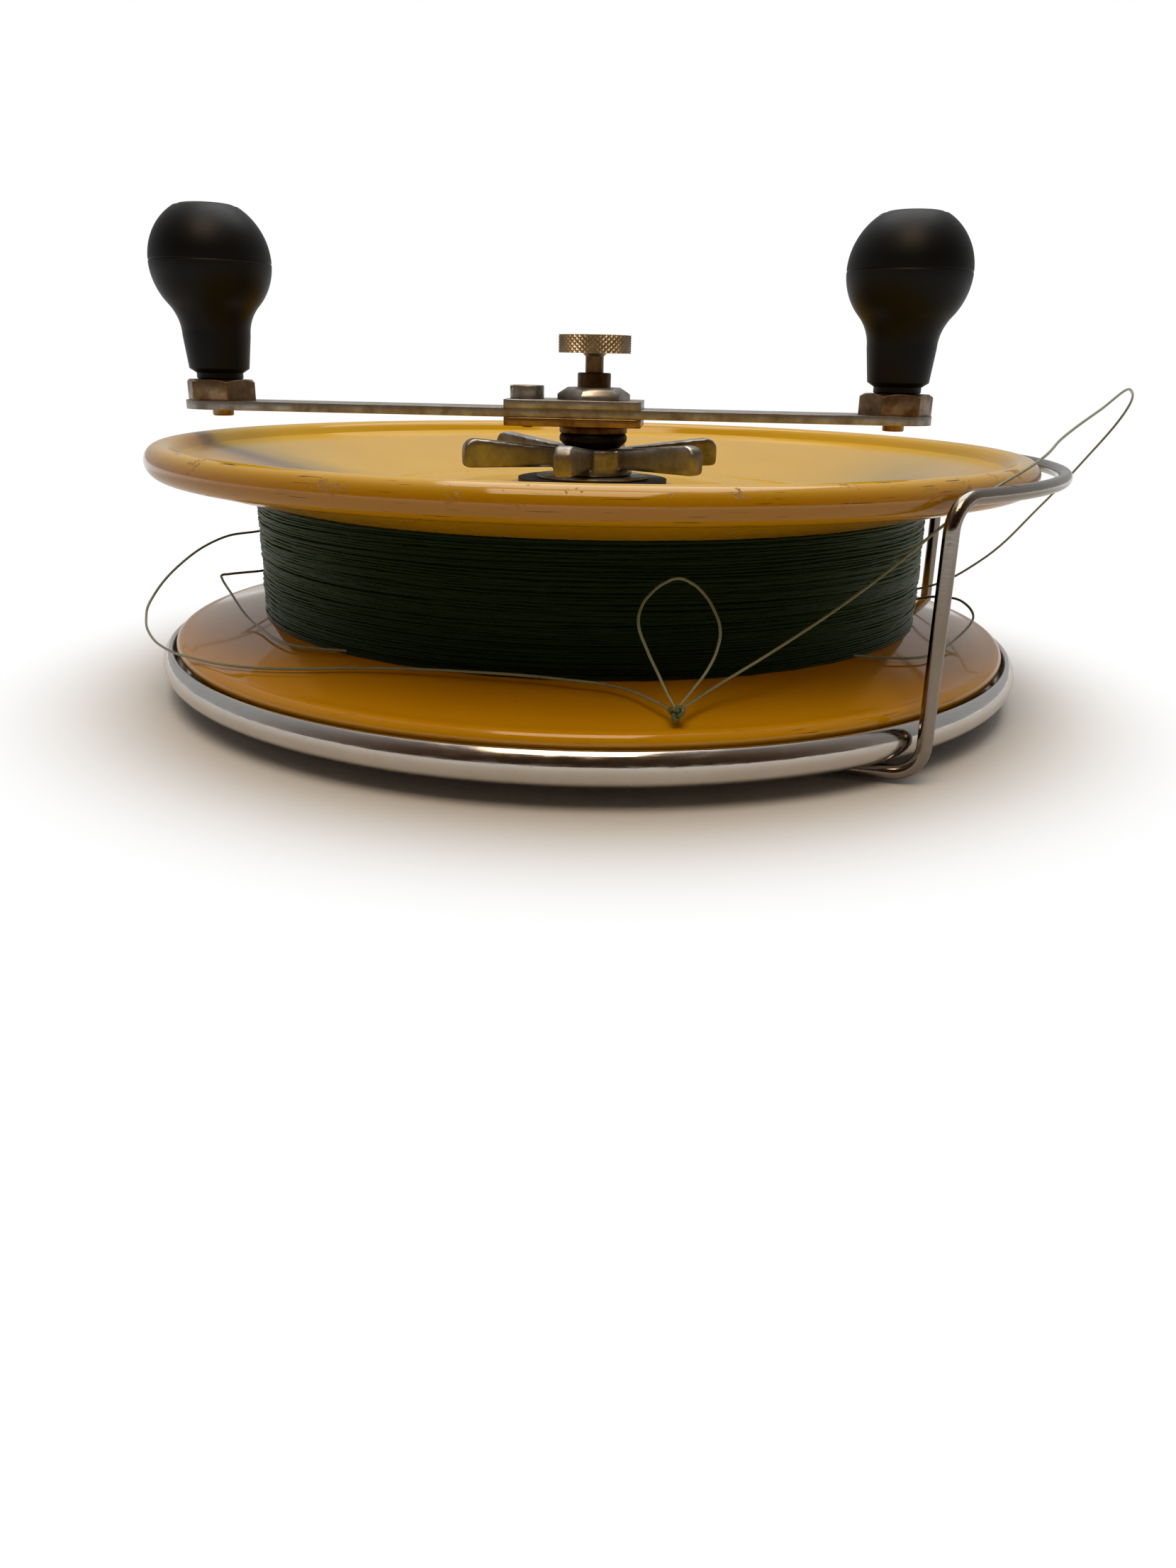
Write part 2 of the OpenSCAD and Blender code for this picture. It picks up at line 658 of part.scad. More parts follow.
// Wound line: a plain core and the turns of its outer layer
module line_core() {
    gap = axial_gap;
    inner = drum_r + gap;
    color(line_green)
        rotate_extrude($fn = 180)
            polygon([[inner, low_top(inner) + gap], [core_r, low_top(core_r) + gap],
                [core_r, top_under(core_r) - gap], [inner, top_under(inner) - gap]]);
}
module line_winding() {
    color(line_green) tube(winding, line_d, wind_sides);
}
module drag_washer_upper() {
    color(leather) ring_solid(washer_d / 2, sleeve_d / 2 + 2 * axial_gap, hub_top, hub_top + washer_t);
}
module drag_washer_lower() {
    color(leather) ring_solid(washer_d / 2, sleeve_d / 2 + 2 * axial_gap, low_washer_z0, hub_z0);
}

// Sleeve that carries the handle, the star wheel and the ratchet wheel
module drive_sleeve() {
    color(nickel)
        difference() {
            union() {
                translate([0, 0, ratchet_z0]) cylinder(d = sleeve_d, h = nut_z0 - ratchet_z0);
                translate([0, 0, nut_z0]) cylinder(d = boss_d, h = boss_z1 - nut_z0);
            }
            translate([0, 0, ratchet_z0 - cut])
                cylinder(d = spindle_d + 2 * fit_gap, h = spindle_top + axial_gap - ratchet_z0 + cut);
            translate([0, 0, ratchet_z0]) cylinder(d = thumb_stem_d + 2 * fit_gap, h = boss_z1);
        }
}
gap_share = 0.22;
flank_share = 0.3;
tip_share = 0.44;
function tooth_point(r, step) = r * [cos(step * 360 / ratchet_teeth), sin(step * 360 / ratchet_teeth)];
module ratchet_wheel() {
    root = ratchet_d / 2 - tooth_depth;
    tip = ratchet_d / 2;
    color(nickel)
        translate([0, 0, ratchet_z0])
            linear_extrude(ratchet_t)
                rotate(nose_dir)
                    difference() {
                        polygon([for (i = [0:ratchet_teeth - 1]) each [
                            tooth_point(root, i - gap_share), tooth_point(root, i + gap_share),
                            tooth_point(tip, i + flank_share), tooth_point(tip, i + tip_share)]]);
                        circle(d = sleeve_d + 2 * seat_gap);
                    }
}
module pressure_plate() {
    color(nickel)
        ring_solid(washer_d / 2 - pressure_inset, sleeve_d / 2 + seat_gap,
            pressure_z0, pressure_z0 + pressure_t);
}

// Star wheel: deep arms that rise to rounded tips
star_edge = 0.6;
star_root_share = 0.7;
star_round_share = 0.42;
star_round_end = 105;
module star_arm() {
    root = star_hub_d / 2 * star_root_share;
    tip_h = star_arm_h + star_tip_rise;
    round_r = tip_h * star_round_share;
    rotate([90, 0, 0])
        translate([0, 0, -star_arm_t / 2])
            linear_extrude(star_arm_t)
                polygon(concat([[root, 0], [star_r - star_edge, 0], [star_r, star_edge]],
                    arc(star_r - round_r, tip_h - round_r, round_r, 0, star_round_end),
                    [[root, star_arm_h]]));
}
module star_wheel() {
    color(nickel)
        difference() {
            union() {
                translate([0, 0, star_z0]) cylinder(d = star_hub_d, h = star_top - star_z0);
                for (i = [0:star_arms - 1])
                    rotate(star_angle + 360 * i / star_arms) translate([0, 0, arms_z0]) star_arm();
            }
            translate([0, 0, star_z0 - cut])
                cylinder(d = sleeve_d + 2 * fit_gap, h = star_top - star_z0 + 2 * cut);
        }
}

// Parts clamped on the sleeve by the centre nut
spacer_foot_share = 0.78;
spacer_round = 0.5;
module spacer_bush() {
    bore_r = sleeve_d / 2 + seat_gap;
    top_r = spacer_d / 2;
    color(black)
        rotate_extrude()
            polygon([[bore_r, spacer_z0], [top_r * spacer_foot_share, spacer_z0],
                [top_r, spacer_z0 + spacer_h / 2], [top_r, collar_z0 - spacer_round],
                [top_r - spacer_round, collar_z0], [bore_r, collar_z0]]);
}
module handle_collar() {
    color(brass) ring_solid(spacer_d / 2, sleeve_d / 2 + seat_gap, collar_z0, low_plate_z0);
}
lock_shank_d = 2.4;
lock_end_h = 0.6;
module lock_plate(z0) {
    corner = 1.2;
    at_handle()
        translate([0, 0, z0])
            linear_extrude(plates_t)
                difference() {
                    union() {
                        translate([plates_short - plates_len, corner - plates_w / 2])
                            square([plates_len, plates_w - 2 * corner]);
                        translate([plates_short - plates_len + corner, -plates_w / 2])
                            square([plates_len - 2 * corner, plates_w]);
                        for (x = [plates_short - plates_len + corner, plates_short - corner])
                            for (y = [corner - plates_w / 2, plates_w / 2 - corner])
                                translate([x, y]) circle(r = corner, $fn = 32);
                    }
                    circle(d = sleeve_d + 2 * seat_gap);
                    translate([-lock_x, 0]) circle(d = lock_shank_d + 2 * seat_gap);
                }
}
module lower_lock_plate() {
    color(nickel) lock_plate(low_plate_z0);
}
module upper_lock_plate() {
    color(nickel) lock_plate(arm_z1);
}
module handle_arm() {
    color(nickel)
        at_handle()
            translate([0, 0, arm_z0])
                linear_extrude(arm_t)
                    difference() {
                        union() {
                            translate([-arm_long, -arm_w / 2]) square([arm_long + arm_short, arm_w]);
                            translate([-arm_long, 0]) circle(d = arm_w);
                            translate([arm_short, 0]) circle(d = arm_w);
                        }
                        circle(d = sleeve_d + 2 * seat_gap);
                        translate([-lock_x, 0]) circle(d = lock_shank_d + 2 * seat_gap);
                        translate([-arm_long, 0]) circle(d = pin_end_d + 2 * seat_gap);
                        translate([arm_short, 0]) circle(d = pin_end_d + 2 * seat_gap);
                    }
}
module lock_screw() {
    slot_w = 1;
    slot_h = 0.9;
    slot_turn = 30;
    color(nickel)
        at_handle()
            translate([-lock_x, 0, 0]) {
                translate([0, 0, low_plate_z0 - lock_end_h])
                    cylinder(d = lock_shank_d, h = nut_z0 - low_plate_z0 + lock_end_h);
                translate([0, 0, nut_z0])
                    difference() {
                        cylinder(d = lock_head_d, h = lock_head_h);
                        rotate(slot_turn)
                            translate([-lock_head_d, -slot_w / 2, lock_head_h - slot_h])
                                cube([2 * lock_head_d, slot_w, slot_h + cut]);
                    }
            }
}
nut_chamfer = 30;
module hex_nut(af, h, bore) {
    corner_r = af / 2 / cos(30);
    outside = corner_r + cut;
    difference() {
        intersection() {
            cylinder(r = corner_r, h = h, $fn = 6);
            rotate_extrude()
                polygon([[0, 0], [outside, 0], [outside, h - (outside - af / 2) * tan(nut_chamfer)],
                    [af / 2, h], [0, h]]);
        }
        translate([0, 0, -cut]) cylinder(d = bore, h = h + 2 * cut);
    }
}
nut_turn = 15;
module centre_nut() {
    color(nickel)
        at_handle() translate([0, 0, nut_z0]) rotate(nut_turn) hex_nut(nut_af, nut_h, boss_d + 2 * seat_gap);
}

// Pins, nuts, knobs and caps at the two ends of the handle
module knob_pin() {
    color(nickel) {
        translate([0, 0, arm_z0 - pin_end_h]) cylinder(d = pin_end_d, h = arm_t + pin_end_h);
        translate([0, 0, arm_z1]) cylinder(d = pin_d, h = pin_head_z0 - arm_z1);
        translate([0, 0, pin_head_z0]) cylinder(d = pin_head_d, h = pin_head_h);
    }
}
module knob_pin_long() {
    at_long_knob() knob_pin();
}
module knob_pin_short() {
    at_short_knob() knob_pin();
}
module knob_nut() {
    translate([0, 0, arm_z1]) hex_nut(pin_nut_af, pin_nut_h, pin_d + 2 * seat_gap);
}
module knob_nuts() {
    color(nickel) {
        at_long_knob() knob_nut();
        at_short_knob() knob_nut();
    }
}

// Knob outline: a neck, a tapered stem, a hollow curve, and a ball that ends in a flat top
knob_r = knob_d / 2;
ball_z = knob_h - sqrt(pow(knob_r, 2) - pow(knob_top_d / 2, 2));
ball_end = acos(knob_top_d / knob_d);
ball_steps = 14;
hollow_x = waist_d / 2 + waist_bend;
hollow_z = ball_z - sqrt(pow(knob_r + waist_bend, 2) - pow(hollow_x, 2));
hollow_end = acos(hollow_x / (knob_r + waist_bend));
ball_step = (ball_end + hollow_end) / ball_steps;
function knob_profile() = concat(
    [[0, -neck_h], [neck_d / 2, -neck_h], [neck_d / 2, -foot_slant], [knob_foot_d / 2, 0]],
    arc(hollow_x, hollow_z, waist_bend, 180, 180 - hollow_end),
    arc(0, ball_z, knob_r, ball_step - hollow_end, ball_end, ball_steps - 1),
    [[0, knob_h]]);
module knob() {
    color(black)
        translate([0, 0, knob_z0])
            difference() {
                rotate_extrude() polygon(knob_profile());
                translate([0, 0, -neck_h - cut])
                    cylinder(d = pin_d + 2 * fit_gap, h = knob_h + neck_h + 2 * cut);
                translate([0, 0, pin_head_z0 - axial_gap - knob_z0])
                    cylinder(d = cap_d + 2 * seat_gap, h = knob_h);
            }
}
cap_d = knob_top_d - 2;
module knob_cap() {
    color(black) translate([0, 0, knob_z1 - cap_h]) cylinder(d = cap_d, h = cap_h);
}
module knob_long() {
    at_long_knob() knob();
}
module knob_cap_long() {
    at_long_knob() knob_cap();
}
module knob_short() {
    at_short_knob() knob();
}
module knob_cap_short() {
    at_short_knob() knob_cap();
}

// Thumb screw: a knurled head on a stem that runs down into the spindle
module thumb_screw() {
    color(brass) {
        translate([0, 0, spindle_top - thumb_reach])
            cylinder(d = thumb_stem_d, h = thumb_z0 + thumb_cone - spindle_top + thumb_reach);
        translate([0, 0, thumb_z0]) cylinder(d1 = thumb_d - 2 * thumb_under, d2 = thumb_d, h = thumb_cone);
        translate([0, 0, thumb_z0 + thumb_cone]) cylinder(d = thumb_d, h = thumb_h - 2 * thumb_cone);
        translate([0, 0, thumb_z0 + thumb_h - thumb_cone])
            cylinder(d1 = thumb_d, d2 = thumb_d - 2 * thumb_cone, h = thumb_cone);
    }
}

// Free line: two tails that are knotted together with a loop, and two slack turns beside the wound line
module line_tail_left() {
    color(line_green) tube(smooth(route_at_size(left_route)), line_d, cord_sides);
}
module line_tail_right() {
    color(line_green) tube(smooth(route_at_size(right_route)), line_d, cord_sides);
}
module line_end_loop() {
    color(line_green) tube(smooth(route_at_size(loop_route)), line_d, cord_sides, [0, 1, 0]);
}
module line_slack_left() {
    color(line_green) tube(smooth(route_at_size(slack_left_route)), line_d, cord_sides);
}
module line_slack_right() {
    color(line_green) tube(smooth(route_at_size(slack_right_route)), line_d, cord_sides);
}
knot_len = 2;
knot_r = 1.3 * line_d;
knot_wraps = 3;
knot_tilt = 62;
module line_knot() {
    color(line_green)
        translate(at_size(knot_at))
            rotate([knot_tilt, 0, 0])
                translate([0, 0, -knot_len / 2]) {
                    cylinder(r = knot_r, h = knot_len, $fn = 32);
                    for (i = [0:knot_wraps - 1])
                        translate([0, 0, knot_len * (i + 0.5) / knot_wraps])
                            rotate_extrude($fn = 32) translate([knot_r, 0]) circle(d = line_d, $fn = 16);
                }
}

back_plate();
spindle();
reel_leg();
reel_foot();
leg_rivets();
foot_rivets();
line_guard();
pawl_post();
pawl_spring();
ratchet_pawl();
spool();
spool_bush();
line_core();
line_winding();
drag_washer_upper();
drag_washer_lower();
drive_sleeve();
ratchet_wheel();
pressure_plate();
spacer_bush();
handle_collar();
lower_lock_plate();
handle_arm();
upper_lock_plate();
lock_screw();
centre_nut();
knob_pin_long();
knob_pin_short();
knob_nuts();
star_wheel();
knob_long();
knob_cap_long();
knob_short();
knob_cap_short();
thumb_screw();
line_tail_left();
line_tail_right();
line_end_loop();
line_knot();
line_slack_left();
line_slack_right();
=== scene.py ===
# %% [markdown]
# # A centre-pin fishing reel
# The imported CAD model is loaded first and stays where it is. Every piece made here takes its place and size
# from that model, so that the looks and the mechanism share one frame.

# %% Load the CAD model
import json
from math import acos, atan2, cos, degrees, pi, radians, sin, sqrt, tau

import bmesh
import bpy
from mathutils import Matrix, Vector, noise

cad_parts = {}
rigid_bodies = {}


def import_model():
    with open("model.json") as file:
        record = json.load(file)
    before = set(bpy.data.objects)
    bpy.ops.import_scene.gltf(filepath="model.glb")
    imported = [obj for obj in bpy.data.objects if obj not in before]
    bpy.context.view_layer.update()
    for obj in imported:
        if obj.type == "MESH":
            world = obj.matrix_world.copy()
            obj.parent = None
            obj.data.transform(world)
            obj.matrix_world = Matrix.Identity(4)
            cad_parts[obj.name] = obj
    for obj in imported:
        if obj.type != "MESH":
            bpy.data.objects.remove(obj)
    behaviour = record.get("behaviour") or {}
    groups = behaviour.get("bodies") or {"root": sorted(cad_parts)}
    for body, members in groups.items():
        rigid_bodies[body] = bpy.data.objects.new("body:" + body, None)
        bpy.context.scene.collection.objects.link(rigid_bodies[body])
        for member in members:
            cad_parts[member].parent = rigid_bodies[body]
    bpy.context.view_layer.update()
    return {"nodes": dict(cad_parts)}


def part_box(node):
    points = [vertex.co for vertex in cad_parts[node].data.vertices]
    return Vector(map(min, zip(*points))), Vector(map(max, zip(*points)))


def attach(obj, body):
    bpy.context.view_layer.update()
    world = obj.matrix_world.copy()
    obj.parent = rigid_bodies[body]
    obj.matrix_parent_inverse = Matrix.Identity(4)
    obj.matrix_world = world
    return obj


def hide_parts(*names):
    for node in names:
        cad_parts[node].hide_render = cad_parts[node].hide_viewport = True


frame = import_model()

MM = 0.001
scene = bpy.context.scene
scene.view_settings.view_transform = "Standard"
print("CAD pieces:", len(frame["nodes"]))

# %% [markdown]
# ## Camera
# The reel was photographed from close by with a wide lens, from about the height of its handle arm and
# tilted down, so that the front of the spool looks large. A camera can be placed by eye, but here its place
# and tilt were worked out from the circles of the pan and the lip, and are only repeated.

# %% Camera
PHOTO_HEIGHT = 2212
FOCAL_PIXELS = 1620
SENSOR = 36
CAMERA_AT = Vector((-4.4, -255.7, 65.7)) * MM
PITCH, YAW, ROLL = radians(20.27), radians(1.07), radians(1.14)

forward = Vector((sin(YAW) * cos(PITCH), cos(YAW) * cos(PITCH), -sin(PITCH)))
level = Vector((cos(YAW), -sin(YAW), 0))
above = level.cross(forward)
right = cos(ROLL) * level + sin(ROLL) * above
up = cos(ROLL) * above - sin(ROLL) * level

bpy.ops.object.select_all(action="DESELECT")
bpy.ops.object.camera_add()
camera = bpy.context.object
turn = Matrix((right, up, -forward)).transposed().to_4x4()
camera.matrix_world = Matrix.Translation(CAMERA_AT) @ turn
camera.data.sensor_width = SENSOR
camera.data.lens = SENSOR * FOCAL_PIXELS / PHOTO_HEIGHT
camera.data.clip_start = 0.01
scene.camera = camera
print(f"camera: lens {camera.data.lens:.2f} mm")

# %% [markdown]
# ## Loose line
# Two tails of line come off the spool, one round its left side and one over the guard, and meet in a knot
# with a small loop, and two slack turns have sprung off the pack. A cord is best drawn as a curve with a
# round section: its length can be measured, and it bends smoothly between the points of its route. The
# routes repeat the ones of the CAD model.

# %% Loose line
LINE_D = 0.5
LEFT_ROUTE = [
    (-66, 27, 27.6), (-76.5, 14, 27.2), (-82.6, 4, 26.8), (-89.2, -6, 22.2), (-92.5, -15, 16.6),
    (-91.3, -22, 14.3), (-88.2, -29.5, 12.9), (-81.8, -39.2, 12.2), (-73.5, -48, 12.6), (-64.4, -55.1, 13.2),
    (-54.4, -59.7, 14), (-38.8, -63.9, 15.5), (-21.4, -69.2, 16.5), (-4.8, -73.4, 16.5), (4, -76, 16),
    (9.3, -81, 15.2), (12, -84.6, 14.7)]
RIGHT_ROUTE = [
    (69, 16.5, 16.4), (77, 11, 17), (90, 10.5, 23.5), (103, 11.5, 36.5), (110, 10, 46), (114.5, 3, 57),
    (109, -10, 62), (95, -29, 58.5), (82, -46, 54.5), (72, -60.5, 51), (63.9, -65.2, 47.2), (58.7, -70, 45),
    (55, -67.8, 41), (50.5, -66, 36), (41.8, -68.4, 29.6), (29.5, -74.3, 22.7), (18, -79.5, 16.8),
    (12.8, -84.8, 15)]
LOOP_ROUTE = [
    (12.1, -84.5, 15.2), (11, -82.8, 16.9), (9.6, -80.6, 19.5), (7.7, -78.7, 23.2), (6.4, -77, 26.8),
    (6.9, -75.4, 29.2), (8.4, -74, 31), (10.5, -73, 32.5), (12.9, -72.4, 33.2), (15, -72.6, 32.5),
    (16.9, -73.4, 31), (18.5, -74.9, 28.7), (19.4, -76.6, 26), (19, -78, 23.3), (17.6, -79.6, 20.5),
    (15, -82.1, 17.6), (12.7, -84.3, 15.4)]
SLACK_LEFT_ROUTE = [
    (-70.4, 8, 20.2), (-72.7, -1, 20.7), (-75.7, -6, 21.1), (-77.6, -8.4, 21.2), (-78.7, -10, 21.2),
    (-78.2, -11.5, 20.7), (-76.8, -14, 19.8), (-75.1, -17, 19), (-72.9, -21, 17.9), (-70.7, -25, 16.9),
    (-67.9, -29.6, 16), (-65.1, -34.2, 15.7), (-62.3, -39.3, 15.6), (-59.4, -44, 15.5), (-55.5, -48.6, 15.6),
    (-50, -52.5, 16), (-44, -55.6, 16.4)]
SLACK_RIGHT_ROUTE = [
    (70.6, -5, 17.2), (72.2, -8.3, 18.5), (73.8, -12, 19.5), (75.9, -15, 19.9), (77.1, -17, 19.9),
    (78, -19, 19.4), (78.5, -21.5, 18.6), (78.2, -24, 17.8), (76.8, -27, 17), (74.7, -30, 16.1),
    (72.5, -32.8, 15.4), (69.8, -36.6, 14.9), (66, -42, 14.7), (62.2, -46.5, 14.8), (57.5, -49.5, 15.1),
    (52.5, -51.3, 15.7), (47, -53.2, 16.4)]


def draw_line(name, route):
    """Draw a length of line through the points of a route in millimetres."""
    bpy.ops.object.select_all(action="DESELECT")
    bpy.ops.curve.primitive_bezier_curve_add()
    piece = bpy.context.object
    piece.name = piece.data.name = name
    spline = piece.data.splines[0]
    spline.bezier_points.add(len(route) - len(spline.bezier_points))
    for point, place in zip(spline.bezier_points, route):
        point.co = Vector(place) * MM
        point.radius = LINE_D / 2 * MM
    bpy.ops.object.mode_set(mode="EDIT")
    bpy.ops.curve.select_all(action="SELECT")
    bpy.ops.curve.handle_type_set(type="AUTOMATIC")
    bpy.ops.object.mode_set(mode="OBJECT")
    piece.data.dimensions = "3D"
    piece.data.resolution_u = 10
    piece.data.bevel_depth = 1
    piece.data.bevel_resolution = 2
    piece.data.use_fill_caps = True
    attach(piece, "root")
    print(f"{name}: {piece.data.splines[0].calc_length() / MM:.1f} mm")
    return piece


left_tail = draw_line("loose_line_left", LEFT_ROUTE)
right_tail = draw_line("loose_line_right", RIGHT_ROUTE)
end_loop = draw_line("loose_line_loop", LOOP_ROUTE)
slack_left = draw_line("slack_turn_left", SLACK_LEFT_ROUTE)
slack_right = draw_line("slack_turn_right", SLACK_RIGHT_ROUTE)

# %% [markdown]
# ## Knot
# The tails and the loop meet in a pulled-tight knot. It could be a lump, but close up a knot shows line
# that passes over and under itself, so one length of line is led round a trefoil, three times over and
# under. It is drawn thicker than the line is, because a pulled knot closes up and leaves no holes.

# %% Knot
KNOT_AT = Vector((12.3, -85, 14.6))
KNOT_SIZE, KNOT_LINE_D, KNOT_POINTS = 0.36, 0.8, 72


def select_only(piece):
    """Make one object the selected and active one."""
    bpy.ops.object.select_all(action="DESELECT")
    piece.select_set(True)
    bpy.context.view_layer.objects.active = piece


def tangle(name, runs, thickness, closed=False):
    """Draw runs of line through points in millimetres as one curve object with a round section."""
    bpy.ops.object.select_all(action="DESELECT")
    bpy.ops.curve.primitive_nurbs_path_add()
    piece = bpy.context.object
    piece.name = piece.data.name = name
    piece.data.splines.clear()
    for run in runs:
        spline = piece.data.splines.new("POLY")
        spline.points.add(len(run) - 1)
        spline.use_cyclic_u = closed
        for point, place in zip(spline.points, run):
            point.co = [*(Vector(place) * MM), 1]
    piece.data.dimensions = "3D"
    piece.data.bevel_depth = thickness / 2 * MM
    piece.data.bevel_resolution = 1
    piece.data.use_fill_caps = True
    return piece


def to_mesh(piece):
    """Turn a curve into a smooth mesh."""
    select_only(piece)
    bpy.ops.object.convert(target="MESH")
    bpy.ops.object.shade_smooth()
    return piece


trefoil = [
    KNOT_AT + KNOT_SIZE * Vector((sin(t) + 2 * sin(2 * t), -1.2 * sin(3 * t), cos(t) - 2 * cos(2 * t)))
    for t in (tau * i / KNOT_POINTS for i in range(KNOT_POINTS))]
knot = to_mesh(tangle("tied_knot", [trefoil], KNOT_LINE_D, closed=True))
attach(knot, "root")
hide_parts("line_knot")
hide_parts("line_tail_left")
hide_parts("line_tail_right")
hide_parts("line_end_loop")
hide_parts("line_slack_left")
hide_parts("line_slack_right")
print("knot:", len(knot.data.polygons), "faces")

# %% [markdown]
# All of the loose line is in view from the spool to the knot, so its measured length is its real length. A
# slack turn goes back into the pack that it came from.

print("five lengths of loose line drawn")

# %% [markdown]
# ## Finishes
# Every finish is a small network of shader nodes on Object coordinates. Two helpers are enough: one turns a
# hex colour into the linear colour that a shader expects, and one adds a node with its settings and links.

# %% Helpers for the finishes
def linear(code):
    """Turn an sRGB hex colour into linear red, green, blue and alpha."""
    parts = [int(code[i:i + 2], 16) / 255 for i in (1, 3, 5)]
    return [p / 12.92 if p <= 0.04045 else ((p + 0.055) / 1.055) ** 2.4 for p in parts] + [1]


def add(tree, kind, inputs=None, **settings):
    """Add a node, set it up, and set or link its inputs by name or number."""
    node = tree.nodes.new("ShaderNode" + kind)
    for key, value in settings.items():
        setattr(node, key, value)
    for key, value in (inputs or {}).items():
        if isinstance(value, bpy.types.NodeSocket):
            tree.links.new(value, node.inputs[key])
        else:
            node.inputs[key].default_value = value
    return node


def new_finish(name, colour, roughness, metallic=0.0):
    """Start a finish and return it with its node tree, its shader and its Object coordinates."""
    finish = bpy.data.materials.new(name)
    finish.use_nodes = True
    tree = finish.node_tree
    shader = tree.nodes["Principled BSDF"]
    shader.inputs["Base Color"].default_value = linear(colour)
    shader.inputs["Roughness"].default_value = roughness
    shader.inputs["Metallic"].default_value = metallic
    return finish, tree, shader, add(tree, "TexCoord").outputs["Object"]


def per(size):
    """Scale of a noise pattern whose marks are a size in millimetres."""
    return 1 / (size * MM)


# %% [markdown]
# ### Yellow spool
# The spool is moulded from a hard yellow plastic with a polished skin. Its colour holds painted light: the
# dish is painted yellower and paler, as white light from above makes it, the rest more orange, as the warm
# light in front makes it, and the outside of the lip darker, as painted shade on its upright side. Use has
# dulled it in patches, chipped its crest and scratched its side. The dish is found by its height over a cone
# that rises with the flange. The chips are a fine noise cut off high, shown only on the lip; the scratches
# are noise drawn out along the rim.

# %% Yellow moulded plastic
RIM_R = 88 * MM
LIP_FROM, LIP_FULL, LIP_SIDE = 86.8 * MM, 88.2 * MM, 90.3 * MM
CREST_FROM, CREST_FULL = 45.2 * MM, 47.2 * MM
DISH_FROM, DISH_FULL = 2.4 * MM, 1.4 * MM
FLANGE_RISE = 0.26

yellow, tree, shader, place = new_finish("moulded_yellow_plastic", "#C6930E", 0.12)
shader.inputs["IOR"].default_value = 1.5
axes = add(tree, "SeparateXYZ", {0: place}).outputs
flat = add(tree, "CombineXYZ", {0: axes[0], 1: axes[1]}).outputs[0]
radius = add(tree, "VectorMath", {0: flat}, operation="LENGTH").outputs["Value"]
angle = add(tree, "Math", {0: axes[1], 1: axes[0]}, operation="ARCTAN2").outputs[0]
arc = add(tree, "Math", {0: angle, 1: RIM_R}, operation="MULTIPLY").outputs[0]
rim_place = add(tree, "CombineXYZ", {0: arc, 1: radius, 2: axes[2]}).outputs[0]
blotch = add(tree, "TexNoise", {"Vector": place, "Scale": per(30), "Detail": 4}).outputs["Fac"]
# Painted light: the dish is painted yellower and paler, as white light from above makes it, and the rest of
# the spool more orange, as the warm light in front makes it.
warm_lit_yellow = add(tree, "MixRGB", {0: blotch, 1: linear("#C08705"), 2: linear("#D29C0A")}).outputs[0]
top_lit_yellow = add(tree, "MixRGB", {0: blotch, 1: linear("#C2960A"), 2: linear("#D4AB14")}).outputs[0]
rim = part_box("spool")[1]
rim_level = rim.z - FLANGE_RISE * rim.x
over_cone = add(tree, "Math", {0: radius, 1: -FLANGE_RISE, 2: axes[2]}, operation="MULTIPLY_ADD").outputs[0]
in_dish = add(tree, "MapRange", {0: over_cone, 1: rim_level - DISH_FROM, 2: rim_level - DISH_FULL}).outputs[0]
unmarked = add(tree, "MixRGB", {0: in_dish, 1: warm_lit_yellow, 2: top_lit_yellow}).outputs[0]
# Painted shade: the outer face of the lip is darkened towards brown, for the shade that its upright side
# gets.
lip_painted_shade = add(tree, "MapRange", {0: radius, 1: LIP_FULL, 2: LIP_SIDE, 3: 0.0, 4: 0.55}).outputs[0]
tone = add(tree, "MixRGB", {0: lip_painted_shade, 1: unmarked, 2: linear("#8C5605")}).outputs[0]
print(f"rim of the spool: {rim.x / MM:.1f} mm out and {rim.z / MM:.1f} mm up")

# %% Wear of the yellow plastic
on_lip = add(tree, "MapRange", {0: radius, 1: LIP_FROM, 2: LIP_FULL}).outputs[0]
high = add(tree, "MapRange", {0: axes[2], 1: CREST_FROM, 2: CREST_FULL}).outputs[0]
worn = add(tree, "Math", {0: on_lip, 1: high}, operation="MULTIPLY").outputs[0]
grit = add(tree, "TexNoise", {"Vector": place, "Scale": per(0.9), "Detail": 4, "Roughness": 0.62})
patch = add(tree, "TexNoise", {"Vector": place, "Scale": per(7), "Detail": 2}).outputs["Fac"]
both = add(tree, "Math", {0: grit.outputs["Fac"], 1: patch}, operation="ADD").outputs[0]
cut = add(tree, "MapRange", {0: both, 1: 1.2, 2: 1.26}).outputs[0]
chips = add(tree, "Math", {0: cut, 1: worn}, operation="MULTIPLY").outputs[0]
drawn = add(tree, "Mapping", {"Vector": rim_place, "Scale": (per(9), per(2), per(0.22))}).outputs[0]
streak = add(tree, "TexNoise", {"Vector": drawn, "Scale": 1, "Detail": 2}).outputs["Fac"]
line_cut = add(tree, "MapRange", {0: streak, 1: 0.665, 2: 0.7}).outputs[0]
scratches = add(tree, "Math", {0: line_cut, 1: on_lip}, operation="MULTIPLY").outputs[0]
scratched = add(tree, "MixRGB", {0: scratches, 1: tone, 2: linear("#4E2E08")}).outputs[0]
chipped = add(tree, "MixRGB", {0: chips, 1: scratched, 2: linear("#9A7440")}).outputs[0]
tree.links.new(chipped, shader.inputs["Base Color"])
print("chips on the crest and scratches on the side of the lip made")

